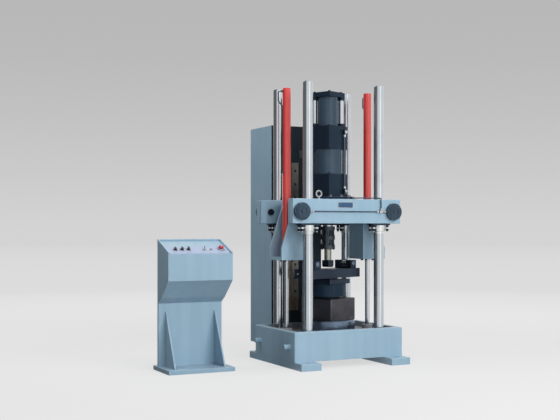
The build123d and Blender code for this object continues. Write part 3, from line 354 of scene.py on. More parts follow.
def enamel(name, colours, gloss, wear, dust, peel, **shine):
    """A paint from its colours: paint, shade, rubbed and dust."""
    values = dict(zip(("Paint", "Shade", "Rubbed", "Dust"), (rgba(*colour) for colour in colours)))
    values.update({"Gloss": gloss, "Wear": wear, "Dust Amount": dust, "Peel": peel})
    finish(name, enamel_group, values, **shine)


def metal(name, colours, cut, film, polish, grain, wear, metallic=1.0):
    """A metal from its colours: clean, tarnished and worn bright."""
    values = dict(zip(("Metal", "Tarnish", "Bright"), (rgba(*colour) for colour in colours)))
    values.update({"Cut": cut, "Film": film, "Polish": polish, "Grain": grain, "Wear": wear})
    finish(name, metal_group, values, metallic)


def plastic(name, plain, scuffed, gloss, texture, coat=0.0):
    """A moulded plastic, plain and scuffed."""
    values = {"Plastic": rgba(*plain), "Scuffed": rgba(*scuffed), "Gloss": gloss, "Texture": texture}
    finish(name, plastic_group, values, coat=coat)


print("finish helpers ready")

# %% Painted finishes
enamel(
    "blue grey enamel",
    ((0.284, 0.421, 0.530), (0.244, 0.377, 0.482), (0.62, 0.70, 0.76), (0.42, 0.50, 0.56)),
    gloss=0.34, wear=0.75, dust=0.35, peel=0.10, coat=0.15, coat_roughness=0.2,
)
enamel(
    "red enamel",
    ((0.69, 0.042, 0.034), (0.55, 0.028, 0.024), (0.75, 0.22, 0.18), (0.50, 0.25, 0.22)),
    gloss=0.24, wear=0.4, dust=0.2, peel=0.06, coat=1.0, coat_roughness=0.08, specular=0.7,
)
enamel(
    "actuator enamel",
    ((0.009, 0.023, 0.041), (0.009, 0.018, 0.032), (0.06, 0.09, 0.12), (0.06, 0.075, 0.09)),
    gloss=0.30, wear=0.6, dust=0.25, peel=0.08, specular=0.14,
)
# The barrel and rod cover wear the actuator's paint made lighter: the extra lightness is a painted highlight
# for the band of light on these round parts.
enamel(
    "actuator enamel with painted highlight",
    ((0.030, 0.056, 0.086), (0.022, 0.042, 0.066), (0.08, 0.12, 0.15), (0.06, 0.075, 0.09)),
    gloss=0.20, wear=0.5, dust=0.2, peel=0.05, specular=0.4,
)
# On the clamp paint the rubbed colour is light and laid on strongly: the light edges of the caps' ribs and
# rims are partly real wear and partly a painted highlight.
enamel(
    "slate enamel",
    ((0.015, 0.042, 0.072), (0.007, 0.019, 0.037), (0.22, 0.30, 0.38), (0.12, 0.15, 0.17)),
    gloss=0.32, wear=1.3, dust=0.3, peel=0.2, specular=0.55,
)
enamel(
    "tray enamel",
    ((0.260, 0.280, 0.310), (0.170, 0.175, 0.190), (0.12, 0.12, 0.12), (0.10, 0.095, 0.09)),
    gloss=0.30, wear=0.4, dust=0.4, peel=0.15,
)
enamel(
    "cabinet black",
    ((0.017, 0.033, 0.043), (0.012, 0.023, 0.032), (0.06, 0.07, 0.08), (0.05, 0.05, 0.05)),
    gloss=0.45, wear=0.3, dust=0.2, peel=0.12, specular=0.3,
)
enamel(
    "lavender panel",
    ((0.34, 0.41, 0.56), (0.31, 0.38, 0.53), (0.80, 0.82, 0.88), (0.60, 0.62, 0.68)),
    gloss=0.38, wear=0.2, dust=0.1, peel=0.05,
)
enamel(
    "nameplate blue",
    ((0.030, 0.085, 0.175), (0.022, 0.064, 0.140), (0.30, 0.40, 0.55), (0.20, 0.25, 0.35)),
    gloss=0.25, wear=0.5, dust=0.1, peel=0.03,
)
print("painted finishes", len(finishes))

# %% Metal finishes
TURNED = (10.0, 10.0, 900.0)
DRAWN = (700.0, 700.0, 5.0)
MILLED = (60.0, 60.0, 420.0)
BLASTED = (300.0, 300.0, 300.0)
metal(
    "hard chrome", ((0.63, 0.66, 0.69), (0.50, 0.54, 0.58), (0.95, 0.95, 0.95)),
    TURNED, film=0.35, polish=0.13, grain=0.03, wear=0.2,
)
metal(
    "ground steel", ((0.66, 0.66, 0.65), (0.42, 0.41, 0.38), (0.9, 0.9, 0.9)),
    TURNED, film=0.5, polish=0.26, grain=0.12, wear=0.5,
)
metal(
    "ram steel", ((0.46, 0.47, 0.41), (0.30, 0.31, 0.25), (0.8, 0.8, 0.74)),
    TURNED, film=0.6, polish=0.34, grain=0.12, wear=0.4,
)
metal(
    "black oxide", ((0.038, 0.056, 0.084), (0.056, 0.064, 0.080), (0.30, 0.30, 0.32)),
    MILLED, film=0.6, polish=0.30, grain=0.15, wear=0.7,
)
metal(
    "phosphated steel", ((0.100, 0.118, 0.135), (0.050, 0.056, 0.064), (0.38, 0.40, 0.42)),
    TURNED, film=0.7, polish=0.34, grain=0.12, wear=0.8,
)
metal(
    "oiled blue steel", ((0.215, 0.280, 0.380), (0.080, 0.105, 0.150), (0.40, 0.44, 0.50)),
    TURNED, film=0.5, polish=0.20, grain=0.08, wear=0.6,
)
metal(
    "bronzed block", ((0.122, 0.116, 0.130), (0.056, 0.058, 0.072), (0.34, 0.32, 0.32)),
    MILLED, film=0.8, polish=0.36, grain=0.18, wear=0.5,
)
metal(
    "rail steel", ((0.30, 0.235, 0.165), (0.16, 0.12, 0.085), (0.45, 0.42, 0.38)),
    DRAWN, film=0.8, polish=0.42, grain=0.15, wear=0.5, metallic=0.9,
)
metal(
    "strip steel", ((0.42, 0.40, 0.36), (0.26, 0.24, 0.20), (0.75, 0.73, 0.70)),
    DRAWN, film=0.7, polish=0.32, grain=0.12, wear=0.6,
)
metal(
    "tube steel", ((0.105, 0.150, 0.185), (0.060, 0.080, 0.100), (0.50, 0.54, 0.58)),
    DRAWN, film=0.6, polish=0.30, grain=0.06, wear=0.3,
)
metal(
    "blasted aluminium", ((0.52, 0.52, 0.53), (0.40, 0.40, 0.41), (0.8, 0.8, 0.8)),
    BLASTED, film=0.4, polish=0.45, grain=0.2, wear=0.4,
)
metal(
    "plated steel", ((0.86, 0.87, 0.86), (0.60, 0.61, 0.58), (0.95, 0.95, 0.95)),
    TURNED, film=0.4, polish=0.24, grain=0.08, wear=0.4,
)
print("finishes so far", len(finishes))

# %% Plastic finishes
plastic("black knob", (0.008, 0.008, 0.010), (0.03, 0.03, 0.03), gloss=0.22, texture=0.05, coat=0.3)
plastic("red button", (0.42, 0.012, 0.035), (0.50, 0.06, 0.08), gloss=0.20, texture=0.03, coat=0.4)
plastic("grey switch", (0.05, 0.07, 0.07), (0.12, 0.13, 0.13), gloss=0.45, texture=0.3)
plastic("amber lens", (0.22, 0.20, 0.24), (0.35, 0.32, 0.36), gloss=0.12, texture=0.02, coat=0.6)
plastic("black rubber", (0.012, 0.012, 0.013), (0.035, 0.035, 0.035), gloss=0.62, texture=0.4)
plastic("white mark", (0.72, 0.72, 0.70), (0.60, 0.60, 0.58), gloss=0.40, texture=0.05)
print("all finishes", sorted(finishes))

# %% [markdown]
# ## Finishes on the solids
# A solid keeps its mesh and takes its finish in its material slots. The list goes from finish to
# the pieces that have it, so that a colour can be judged and changed in one place.

# %% Dress the solids
NODE_FINISHES = {
    "blue grey enamel": (
        "base_box", "foot_rails", "crosshead", "lift_bracket_left", "lift_bracket_right",
        "cabinet_shell", "console_base_plate", "console_pedestal", "console_housing",
        "lifting_trunnions",
    ),
    "red enamel": ("lift_cylinder_left", "lift_cylinder_right"),
    "actuator enamel": (
        "actuator_flange", "actuator_lower_block", "actuator_upper_block", "actuator_top_plate",
        "load_cell",
    ),
    # The barrel and rod cover take the actuator paint lightened, a painted highlight.
    "actuator enamel with painted highlight": ("actuator_barrel", "rod_cover"),
    "slate enamel": ("clamp_cylinders",),
    "tray enamel": ("drip_tray", "lift_rod_feet"),
    "cabinet black": ("cabinet_front_panel",),
    "lavender panel": ("control_panel",),
    "hard chrome": (
        "column_front_left", "column_front_right", "column_back_left", "column_back_right",
        "lift_rod_left", "lift_rod_right", "piston_rod", "tie_rods",
    ),
    "ground steel": (
        "eyebolts", "support_roller_left", "support_roller_right", "control_bezels", "key_switch",
    ),
    "ram steel": ("loading_ram",),
    "black oxide": (
        "column_nuts", "crosshead_bolts", "loading_nose", "guide_rail_bolts", "guide_bushes",
        "adapter_plate", "roller_cradle_left", "roller_cradle_right", "bending_table",
    ),
    "phosphated steel": ("grip_coupling",),
    "oiled blue steel": ("load_base_disc",),
    "bronzed block": ("support_block",),
    "rail steel": ("guide_rail",),
    "strip steel": ("guide_strip",),
    "tube steel": ("hydraulic_pipes", "side_pipe"),
    "blasted aluminium": ("servo_valve",),
    "grey switch": ("limit_switches",),
    "black knob": ("selector_knob_1", "selector_knob_2", "selector_knob_3"),
    "red button": ("emergency_stop",),
}
for finish_name, node_names in NODE_FINISHES.items():
    for node_name in node_names:
        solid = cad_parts[node_name]
        solid.data.materials.clear()
        solid.data.materials.append(finishes[finish_name])
dressed = {name for names in NODE_FINISHES.values() for name in names}
print("dressed", len(dressed), "left plain", sorted(set(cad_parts) - dressed))

# %% [markdown]
# ## Tools for small hardware
# Small hardware is made of a few kinds of form. A turned piece is a profile spun round an axis and
# closed at both ends. A hoop is a closed outline spun the same way, which leaves a hole. A block is
# a box with its edges bevelled. All come from bmesh, which builds and joins faces directly, and
# take a matrix that carries them to their place.

# %% Mesh helpers
SIDES = (-1, 1)
CORNERS = [(first, second) for first in SIDES for second in SIDES]
SMOOTH_ANGLE = math.radians(32)
RIPPLE_PITCH = 2.4
RIPPLE_WAIST = 0.8


def piece(name, body, slot_name, finish_name, build, *details):
    """Make a piece from a function that fills a bmesh, and let it ride on its body."""
    mesh = bpy.data.meshes.new(name)
    form = bmesh.new()
    build(form, *details)
    bmesh.ops.recalc_face_normals(form, faces=form.faces)
    form.to_mesh(mesh)
    form.free()
    mesh.materials.append(finishes[finish_name])
    made = bpy.data.objects.new(name, mesh)
    scene.collection.objects.link(made)
    mesh.shade_smooth()
    mesh.set_sharp_from_angle(angle=SMOOTH_ANGLE)
    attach(made, body)


def at(x, y, z):
    """A matrix that moves to a place."""
    return Matrix.Translation((x, y, z))


def spun(degrees, axis):
    """A matrix that turns about an axis."""
    return Matrix.Rotation(math.radians(degrees), 4, axis)


def towards(origin, direction):
    """A matrix that puts local Z along direction at origin."""
    turn = Vector(direction).to_track_quat("Z", "Y").to_matrix().to_4x4()
    return Matrix.Translation(Vector(origin)) @ turn


def ring(form, place, radii, height):
    """New corners round the place's own axis, one for each radius."""
    corners = []
    for step, radius in enumerate(radii):
        angle = 2 * math.pi * step / len(radii)
        corner = Vector((radius * math.cos(angle), radius * math.sin(angle), height))
        corners.append(form.verts.new(place @ corner))
    return corners


def bridge(form, lower, upper):
    """Faces between two rings."""
    for step in range(len(lower)):
        after = (step + 1) % len(lower)
        form.faces.new((lower[step], lower[after], upper[after], upper[step]))


def turned(form, profile, place, segments=32):
    """Spin a profile of (radius, height) pairs round its axis, closed at both ends."""
    rings = [ring(form, place, [radius] * segments, height) for radius, height in profile]
    for lower, upper in zip(rings, rings[1:]):
        bridge(form, lower, upper)
    form.faces.new(reversed(rings[0]))
    form.faces.new(rings[-1])


def hoop(form, outline, place, segments=40):
    """Spin a closed outline of (radius, height) pairs, which leaves a hole in the middle."""
    rings = [ring(form, place, [radius] * segments, height) for radius, height in outline]
    for lower, upper in zip(rings, rings[1:] + rings[:1]):
        bridge(form, lower, upper)


def block(form, size, place, bevel_width):
    """A box with bevelled edges, centred on its place."""
    verts = bmesh.ops.create_cube(form, size=1.0)["verts"]
    bmesh.ops.scale(form, vec=Vector(size), verts=verts)
    form.edges.index_update()
    edges = sorted({edge for vert in verts for edge in vert.link_edges}, key=lambda edge: edge.index)
    made = bmesh.ops.bevel(form, geom=edges, offset=bevel_width, segments=2, profile=0.7, affect="EDGES")
    new_verts = {vert for face in made["faces"] for vert in face.verts}
    kept_verts = {vert for vert in verts if vert.is_valid}
    bmesh.ops.transform(form, matrix=place, verts=list(new_verts | kept_verts))


def hexagon_head(form, radius, height, place):
    """A hexagon head or nut with its upper corners turned off."""
    sides = [(radius * 0.92, 0.0), (radius, height * 0.12), (radius, height * 0.82)]
    turned(form, sides + [(radius * 0.86, height)], place, segments=6)


def head_on_washer(form, seat, washer, head, segments):
    """A hexagon head on its washer. Washer: radius, thickness, chamfer. Head: radius, height."""
    radius, thickness, chamfer = washer
    rim = [(radius, -0.0005), (radius, thickness - chamfer), (radius - chamfer, thickness)]
    turned(form, rim, seat, segments)
    hexagon_head(form, *head, seat @ at(0, 0, thickness))


def cap_screw(form, place, direction, radius=0.011, height=0.011):
    """A cylinder head with a socket in it."""
    rim = [(radius, -0.001), (radius, height - 0.0015), (radius - 0.0015, height)]
    socket = [(radius * 0.55, height), (radius * 0.5, height * 0.45)]
    turned(form, rim + socket, towards(place, direction), 24)


def weld(form, start, end, radius):
    """A weld bead along a seam: a thin rod whose radius ripples as the weld was laid."""
    run = Vector(end) - Vector(start)
    ripples = max(2, round(run.length / (RIPPLE_PITCH * radius)))
    profile = [(radius * 0.5, 0.0)]
    for step in range(1, 2 * ripples):
        profile.append((radius * (1.0 if step % 2 else RIPPLE_WAIST), run.length * step / (2 * ripples)))
    profile.append((radius * 0.5, run.length))
    turned(form, profile, towards(start, run), segments=8)


print("mesh helpers ready")

# %% [markdown]
# ## Places worth naming
# Small hardware sits on the solids, so its places are read from their boxes. The fixture and the
# actuator's blocks are turned about the load axis, and share one pair of directions.

# %% Places
TURN = math.radians(23.0)
ACROSS = Vector((math.cos(TURN), math.sin(TURN), 0.0))
DEEP = Vector((-math.sin(TURN), math.cos(TURN), 0.0))
UP = Vector((0.0, 0.0, 1.0))
RIGHT = Vector((1.0, 0.0, 0.0))
FRONT = Vector((0.0, -1.0, 0.0))
BACK = Vector((0.0, 1.0, 0.0))
crosshead_low, crosshead_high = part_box("crosshead")
clamp_low, clamp_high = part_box("clamp_cylinders")
CLAMP_Z = (clamp_low.z + clamp_high.z) / 2
CLAMP_RADIUS = (clamp_high.z - clamp_low.z) / 2
CLAMP_X = clamp_high.x - CLAMP_RADIUS
print("clamps at", round(CLAMP_X, 4), round(CLAMP_Z, 4), "radius", round(CLAMP_RADIUS, 4))

# %% [markdown]
# ## Ribbed caps on the clamp cylinders
# Each clamp cylinder ends in a gland ring that a pin spanner turns. Its rim is ribbed, short ridges
# lie on its face, and the face is stepped down to a small plug in the middle. A ribbed rim is a
# gear outline with shallow teeth, so the ring is spun with a radius that goes in and out.

# %% Clamp caps
RIBS = 40
RIDGES = 30
RIDGE_SIZE = (0.015, 0.0034, 0.004)
RIDGE_RADIUS = 0.0635
RIM = {"inner": 0.060, "outer": CLAMP_RADIUS + 0.002, "depth": 0.024, "rib_depth": 0.004}
INNER_RING = {"inner": 0.034, "outer": 0.050, "depth": 0.005, "rib_depth": 0.001}
PLUG = [(0.016, -0.001), (0.016, 0.006), (0.013, 0.009), (0.006, 0.009), (0.005, 0.004)]


def ribbed_ring(form, place, inner, outer, depth, rib_depth):
    """A flat ring whose outer rim has shallow ribs."""
    rim = [outer, outer, outer - rib_depth, outer - rib_depth] * RIBS
    hole = [inner] * len(rim)
    loops = [ring(form, place, *loop) for loop in ((rim, 0.0), (rim, depth), (hole, depth), (hole, 0.0))]
    for lower, upper in zip(loops, loops[1:] + loops[:1]):
        bridge(form, lower, upper)


def clamp_caps(form):
    """The ribbed rings, the ridges and the plug of all four clamp cylinders."""
    for face_y, direction in ((clamp_low.y, FRONT), (clamp_high.y, BACK)):
        for side in SIDES:
            seat = towards((side * CLAMP_X, face_y, CLAMP_Z), direction)
            ribbed_ring(form, seat @ at(0, 0, -0.031), **RIM)
            ribbed_ring(form, seat @ at(0, 0, -0.001), **INNER_RING)
            for step in range(RIDGES):
                ridge = seat @ spun(360 * step / RIDGES, "Z")
                block(form, RIDGE_SIZE, ridge @ at(RIDGE_RADIUS, 0, -0.006), 0.001)
            turned(form, PLUG, seat)


piece("clamp_caps", "crosshead_unit", "clamp_paint", "slate enamel", clamp_caps)
print("clamp caps on", tuple(round(v, 3) for v in clamp_low))

# %% [markdown]
# ## Collars and studs of the guide bushes
# The guide bushes are black, but what shows under the crosshead is their bright sleeve and, below
# it, the narrower wiper ring that keeps dirt off the column. A sleeve has a hole, so its outline is
# spun as a closed loop. The studs beside it carry two black nuts with a plated band between them.

# %% Bush collars
COLUMN_NODES = ("column_front_left", "column_front_right", "column_back_left", "column_back_right")
column_centres = []
for node_name in COLUMN_NODES:
    low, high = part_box(node_name)
    column_centres.append(((low.x + high.x) / 2, (low.y + high.y) / 2))
COLUMN_RADIUS = (high.x - low.x) / 2
bush_low, bush_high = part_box("guide_bushes")
BUSH_FLANGE = 0.014
FLANGE_BOTTOM = bush_high.z - BUSH_FLANGE
SLEEVE_BOTTOM = bush_low.z
SLEEVE_RADIUS = 0.0572
WIPER_RADIUS = 0.0500
WIPER_HEIGHT = 0.024


def bush_collars(form):
    """The bright sleeve and the wiper ring round every column."""
    top = FLANGE_BOTTOM - 0.001
    sleeve = [
        (SLEEVE_RADIUS - 0.0014, top),
        (SLEEVE_RADIUS - 0.0014, SLEEVE_BOTTOM),
        (SLEEVE_RADIUS - 0.0006, SLEEVE_BOTTOM),
        (SLEEVE_RADIUS, SLEEVE_BOTTOM + 0.0012),
        (SLEEVE_RADIUS, top),
    ]
    low_edge = SLEEVE_BOTTOM - WIPER_HEIGHT
    wiper = [
        (COLUMN_RADIUS + 0.0004, SLEEVE_BOTTOM - 0.0004),
        (COLUMN_RADIUS + 0.0004, low_edge),
        (COLUMN_RADIUS + 0.0020, low_edge - 0.0020),
        (WIPER_RADIUS - 0.0010, low_edge),
        (WIPER_RADIUS, low_edge + 0.0020),
        (WIPER_RADIUS, SLEEVE_BOTTOM - 0.0060),
        (WIPER_RADIUS - 0.0015, SLEEVE_BOTTOM - 0.0045),
        (WIPER_RADIUS, SLEEVE_BOTTOM - 0.0030),
        (WIPER_RADIUS, SLEEVE_BOTTOM - 0.0004),
    ]
    for centre in column_centres:
        hoop(form, sleeve, at(*centre, 0.0))
        hoop(form, wiper, at(*centre, 0.0))


piece("bush_collars", "crosshead_unit", "bright_steel", "plated steel", bush_collars)
print("columns at", [tuple(round(v, 3) for v in centre) for centre in column_centres])

# %% Stud bands
STUD_OFFSETS = [(x, y) for x in (-0.072, 0.072) for y in (-0.030, 0.030)]
BAND_DROP = 0.0330
TIP_DROP = 0.0625
BAND = [(0.0150, 0.0), (0.0168, 0.0015), (0.0168, 0.0125), (0.0150, 0.0140)]
TIP = [(0.0078, 0.0), (0.0085, 0.001), (0.0085, 0.006)]


def stud_bands(form):
    """A plated band between the two nuts of every stud, and the stud's bright end."""
    for centre_x, centre_y in column_centres:
        for offset_x, offset_y in STUD_OFFSETS:
            stud = at(centre_x + offset_x, centre_y + offset_y, FLANGE_BOTTOM)
            turned(form, BAND, stud @ at(0, 0, -BAND_DROP), 24)
            turned(form, TIP, stud @ at(0, 0, -TIP_DROP), 16)


piece("stud_bands", "crosshead_unit", "bright_steel", "plated steel", stud_bands)
print("studs", len(STUD_OFFSETS) * len(column_centres))

# %% [markdown]
# ## The nameplate
# A small enamelled plate sits near the middle of the crosshead. It is bare: a blue field with a
# raised bright rim and a screw in each corner. The rim is made of four thin blocks, because its
# corners are square.

# %% Nameplate
PLATE_WIDTH = 0.155
PLATE_HEIGHT = 0.054
RIM_WIDTH = 0.004
SCREW_INSET = 0.010
PLATE_SCREW = [(0.0030, 0.0), (0.0030, 0.0012), (0.0018, 0.0022)]
PLATE_X = -0.027
PLATE_Z = 1.429
plate_seat = towards((PLATE_X, crosshead_low.y, PLATE_Z), FRONT)


def plate_field(form):
    """The blue field of the plate."""
    size = (PLATE_WIDTH - 2 * RIM_WIDTH, PLATE_HEIGHT - 2 * RIM_WIDTH, 0.0024)
    block(form, size, plate_seat @ at(0, 0, 0.0008), 0.0006)


def plate_rim(form):
    """The raised rim and the four screws."""
    for sign in SIDES:
        long_side = plate_seat @ at(0, sign * (PLATE_HEIGHT - RIM_WIDTH) / 2, 0.0012)
        block(form, (PLATE_WIDTH, RIM_WIDTH, 0.0036), long_side, 0.001)
        short_side = plate_seat @ at(sign * (PLATE_WIDTH - RIM_WIDTH) / 2, 0, 0.0012)
        block(form, (RIM_WIDTH, PLATE_HEIGHT - 0.007, 0.0036), short_side, 0.001)
        for corner in SIDES:
            screw_x = sign * (PLATE_WIDTH / 2 - SCREW_INSET)
            screw_y = corner * (PLATE_HEIGHT / 2 - SCREW_INSET)
            turned(form, PLATE_SCREW, plate_seat @ at(screw_x, screw_y, 0.0015), 16)


piece("nameplate_field", "crosshead_unit", "clamp_paint", "nameplate blue", plate_field)
piece("nameplate_rim", "crosshead_unit", "bright_steel", "ground steel", plate_rim)
print("nameplate", PLATE_WIDTH, "by", PLATE_HEIGHT)

# %% [markdown]
# ## Pipe fittings
# The hydraulic pipes are dark, and what catches the light on them are their bright fittings: a
# union nut on each end of a pipe, a tee where the riser meets the clamp line, and a banjo bolt in
# each block of the actuator's side pipe. They are hexagon heads set along the pipes.

# %% Fittings on the clamp line
PIPE_STAND_OFF = 0.014
PIPE_Y = crosshead_low.y - PIPE_STAND_OFF
NUT_PLACES = ((-0.384, 1), (-0.355, -1), (0.310, -1), (0.357, 1), (0.386, -1))
RISER_X = 0.335
RISER_NUT = (0.120, -0.262, crosshead_high.z + 0.012)
TEE_SIZE = (0.032, 0.0215, 0.0215)


def union_nut(form, place, direction, radius=0.0115, length=0.013):
    """A union nut with the thin collar that turns in it."""
    seat = towards(place, direction)
    hexagon_head(form, radius, length, seat)
    neck = radius * 0.66
    turned(form, [(neck, length - 0.001), (neck, length + 0.004), (radius * 0.5, length + 0.006)], seat, 20)


def clamp_fittings(form):
    """Union nuts and the tee of the line along the crosshead's front."""
    for place_x, sign in NUT_PLACES:
        union_nut(form, (place_x, PIPE_Y, CLAMP_Z), RIGHT * sign)
    block(form, TEE_SIZE, at(RISER_X, PIPE_Y, CLAMP_Z), 0.003)
    union_nut(form, (RISER_X, PIPE_Y, CLAMP_Z + 0.012), UP)
    union_nut(form, RISER_NUT, FRONT)


piece("clamp_fittings", "crosshead_unit", "bright_steel", "ground steel", clamp_fittings)
print("clamp line at", round(PIPE_Y, 4), round(CLAMP_Z, 4))

# %% Fittings on the side pipe
HALF_BLOCK = 0.133
PIPE_STAND = 0.015
PIPE_ACROSS = 0.060
BANJO_RISE = 0.023
NUT_RISE = 0.046
pipe_low, pipe_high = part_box("side_pipe")
SIDE_PIPE = ACROSS * PIPE_ACROSS - DEEP * (HALF_BLOCK + PIPE_STAND)


def side_fittings(form):
    """A union nut on the pipe and a banjo bolt on the block, top and bottom."""
    for end_z, sign in ((pipe_low.z, 1), (pipe_high.z, -1)):
        nut = SIDE_PIPE + UP * (end_z + sign * NUT_RISE)
        union_nut(form, nut, UP * sign, radius=0.0150, length=0.018)
        banjo = towards(SIDE_PIPE - DEEP * PIPE_STAND + UP * (end_z + sign * BANJO_RISE), -DEEP)
        turned(form, [(0.0135, -0.001), (0.0135, 0.003), (0.0125, 0.004)], banjo, 24)
        hexagon_head(form, 0.0110, 0.010, banjo @ at(0, 0, 0.003))


piece("side_fittings", "crosshead_unit", "bright_steel", "plated steel", side_fittings)
print("side pipe at", tuple(round(v, 4) for v in SIDE_PIPE))

# %% [markdown]
# ## Bolts of the actuator
# The actuator is clamped together by bolts that a solid model can leave out: washers under the
# flange's cap screws, a screw in each corner of the square blocks and the top plate, and nuts on
# the tie rods. Each set is a loop round the load axis.

# %% Actuator bolts
FLANGE_BOLT_CIRCLE = 0.202
FLANGE_BOLTS = 12
HEAD_HEIGHT = 0.012
BLOCK_SCREW_INSET = 0.034
PLATE_SHARE = 0.86
TIE_ROD_CIRCLE = 0.125
TIE_ROD_WASHER = (0.036, 0.005, 0.001)
TIE_ROD_NUT = (0.0345, 0.024)
FLANGE_WASHER = [(0.0135, 0.0), (0.0180, 0.0), (0.0180, 0.0028), (0.0135, 0.0028)]
HEAD_TOP = [(0.0126, -0.0005), (0.0126, 0.0010), (0.0070, 0.0010), (0.0065, 0.0004)]
flange_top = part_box("actuator_flange")[1].z
upper_block_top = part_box("actuator_upper_block")[1].z
lower_block_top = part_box("actuator_lower_block")[1].z
plate_low, plate_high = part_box("actuator_top_plate")


def around(count, first, radius, height, centre=(0, 0, 0), across=ACROSS, deep=DEEP):
    """Places on a circle, round the load axis and in the turned directions unless told otherwise."""
    for step in range(count):
        angle = math.radians(first) + 2 * math.pi * step / count
        yield Vector(centre) + (across * math.cos(angle) + deep * math.sin(angle)) * radius + UP * height


def flange_washers(form):
    """Plated washers under the flange's cap screws, and the ground tops of their heads."""
    for place in around(FLANGE_BOLTS, 15, FLANGE_BOLT_CIRCLE, flange_top):
        hoop(form, FLANGE_WASHER, at(*place), 24)
        turned(form, HEAD_TOP, at(*place) @ at(0, 0, HEAD_HEIGHT), 24)


def block_screws(form):
    """Cap screws in the corners of both square blocks and of the top plate."""
    reach = HALF_BLOCK - BLOCK_SCREW_INSET
    for across, deep in CORNERS:
        corner = ACROSS * (across * reach) + DEEP * (deep * reach)
        cap_screw(form, corner + UP * upper_block_top, UP)
        cap_screw(form, corner + UP * lower_block_top, UP)
        cap_screw(form, corner * PLATE_SHARE + UP * plate_high.z, UP)


def tie_nuts(form):
    """A nut and a washer at each end of the tie rods."""
    for place in around(2, -45, TIE_ROD_CIRCLE, 0.0):
        for height, direction in ((upper_block_top, UP), (plate_low.z, -UP)):
            seat = towards(place + UP * height, direction)
            head_on_washer(form, seat, TIE_ROD_WASHER, TIE_ROD_NUT, 28)


piece("flange_washers", "crosshead_unit", "bright_steel", "plated steel", flange_washers)
piece("actuator_screws", "crosshead_unit", "black_steel", "black oxide", block_screws)
piece("tie_rod_nuts", "crosshead_unit", "actuator_paint", "black oxide", tie_nuts)
print("flange top at", round(flange_top, 4))

# %% [markdown]
# ## The lift brackets' bolts and welds
# Each red cylinder is bolted to its bracket's floor from below, and the bracket is welded up from
# plate. A weld bead is a thin rod laid in the seam, with a radius that ripples along it.

# %% Bracket bolts and welds
LIFT_X = 0.424
BRACKET_BOLT_CIRCLE = 0.052
BRACKET_WASHER = (0.0165, 0.0035, 0.0005)
BRACKET_HEAD = (0.0145, 0.013)
BRACKET_FLOOR = 0.025
SEAM_Y = 0.0125
BRACKET_BEAD = 0.003
WALL_BEAD_HEIGHT = 0.300
bracket_low, bracket_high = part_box("lift_bracket_right")


def bracket_bolts(form):
    """Four hexagon bolts with washers under each bracket's floor."""
    for side in SIDES:
        centre = RIGHT * (side * LIFT_X)
        for place in around(4, 45, BRACKET_BOLT_CIRCLE, bracket_low.z, centre, RIGHT, BACK):
            head_on_washer(form, towards(place, -UP), BRACKET_WASHER, BRACKET_HEAD, 24)


def bracket_welds(form):
    """Beads where the bracket's plates meet over its floor."""
    seam_z = bracket_low.z + BRACKET_FLOOR + 0.001
    for side, edge in CORNERS:
        seam_y = edge * SEAM_Y
        inner = side * (bracket_low.x + 0.030)
        outer = side * (bracket_high.x - 0.006)
        weld(form, (side * (LIFT_X + 0.045), seam_y, seam_z), (outer, seam_y, seam_z), BRACKET_BEAD)
        weld(form, (inner, seam_y, seam_z + 0.003), (inner, seam_y, seam_z + WALL_BEAD_HEIGHT), BRACKET_BEAD)


piece("bracket_bolts", "crosshead_unit", "black_steel", "black oxide", bracket_bolts)
piece("bracket_welds", "crosshead_unit", "frame_paint", "blue grey enamel", bracket_welds)
print("brackets from", round(bracket_low.z, 3), "to", round(bracket_high.z, 3))

# %% [markdown]
# ## The base's welds and its anchor washers
# The foot rails are welded under the box along both sides, and the two stubs on each side sit in a
# ring of weld. The holes in the feet have thick washers that the anchor bolts pull on, painted with
# the feet.

# %% Base welds
ANCHOR_X = 0.4515
ANCHOR_Y = 0.490
STUB_Y = 0.300
STUB_Z = 0.188
RAIL_BEAD = 0.004
STUB_WELD = [(0.0215, -0.001), (0.0275, -0.001), (0.0245, 0.004), (0.0215, 0.006)]
ANCHOR_WASHER = [(0.0182, -0.0005), (0.0300, -0.0005), (0.0300, 0.0030), (0.0290, 0.0040), (0.0182, 0.0040)]
base_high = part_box("base_box")[1]
rails_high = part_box("foot_rails")[1]
RAIL_WIDTH = 2 * (rails_high.x - ANCHOR_X)


def base_welds(form):
    """Beads along the foot rails and round the stubs."""
    seam_z = rails_high.z + 0.001
    for side, end in CORNERS:
        seam_y = end * (base_high.y + 0.001)
        inner = side * (rails_high.x - RAIL_WIDTH)
        outer = side * (rails_high.x - 0.006)
        weld(form, (inner, seam_y, seam_z), (outer, seam_y, seam_z), RAIL_BEAD)
        hoop(form, STUB_WELD, towards((side * base_high.x, end * STUB_Y, STUB_Z), RIGHT * side), 32)


def anchor_washers(form):
    """A thick washer round every anchor hole."""
    for side, end in CORNERS:
        hoop(form, ANCHOR_WASHER, at(side * ANCHOR_X, end * ANCHOR_Y, rails_high.z), 36)


piece("base_welds", "load_frame", "frame_paint", "blue grey enamel", base_welds)
piece("anchor_washers", "load_frame", "frame_paint", "blue grey enamel", anchor_washers)
print("rail width", round(RAIL_WIDTH, 4))

# %% [markdown]
# ## Hardware of the bending fixture
# Each roller is kept in its cradle by a round plate on the outer side of each cheek, with two small
# screws below it. The table has screws in its end faces, and the load cell has its bright cover
# screws and a round plug socket.

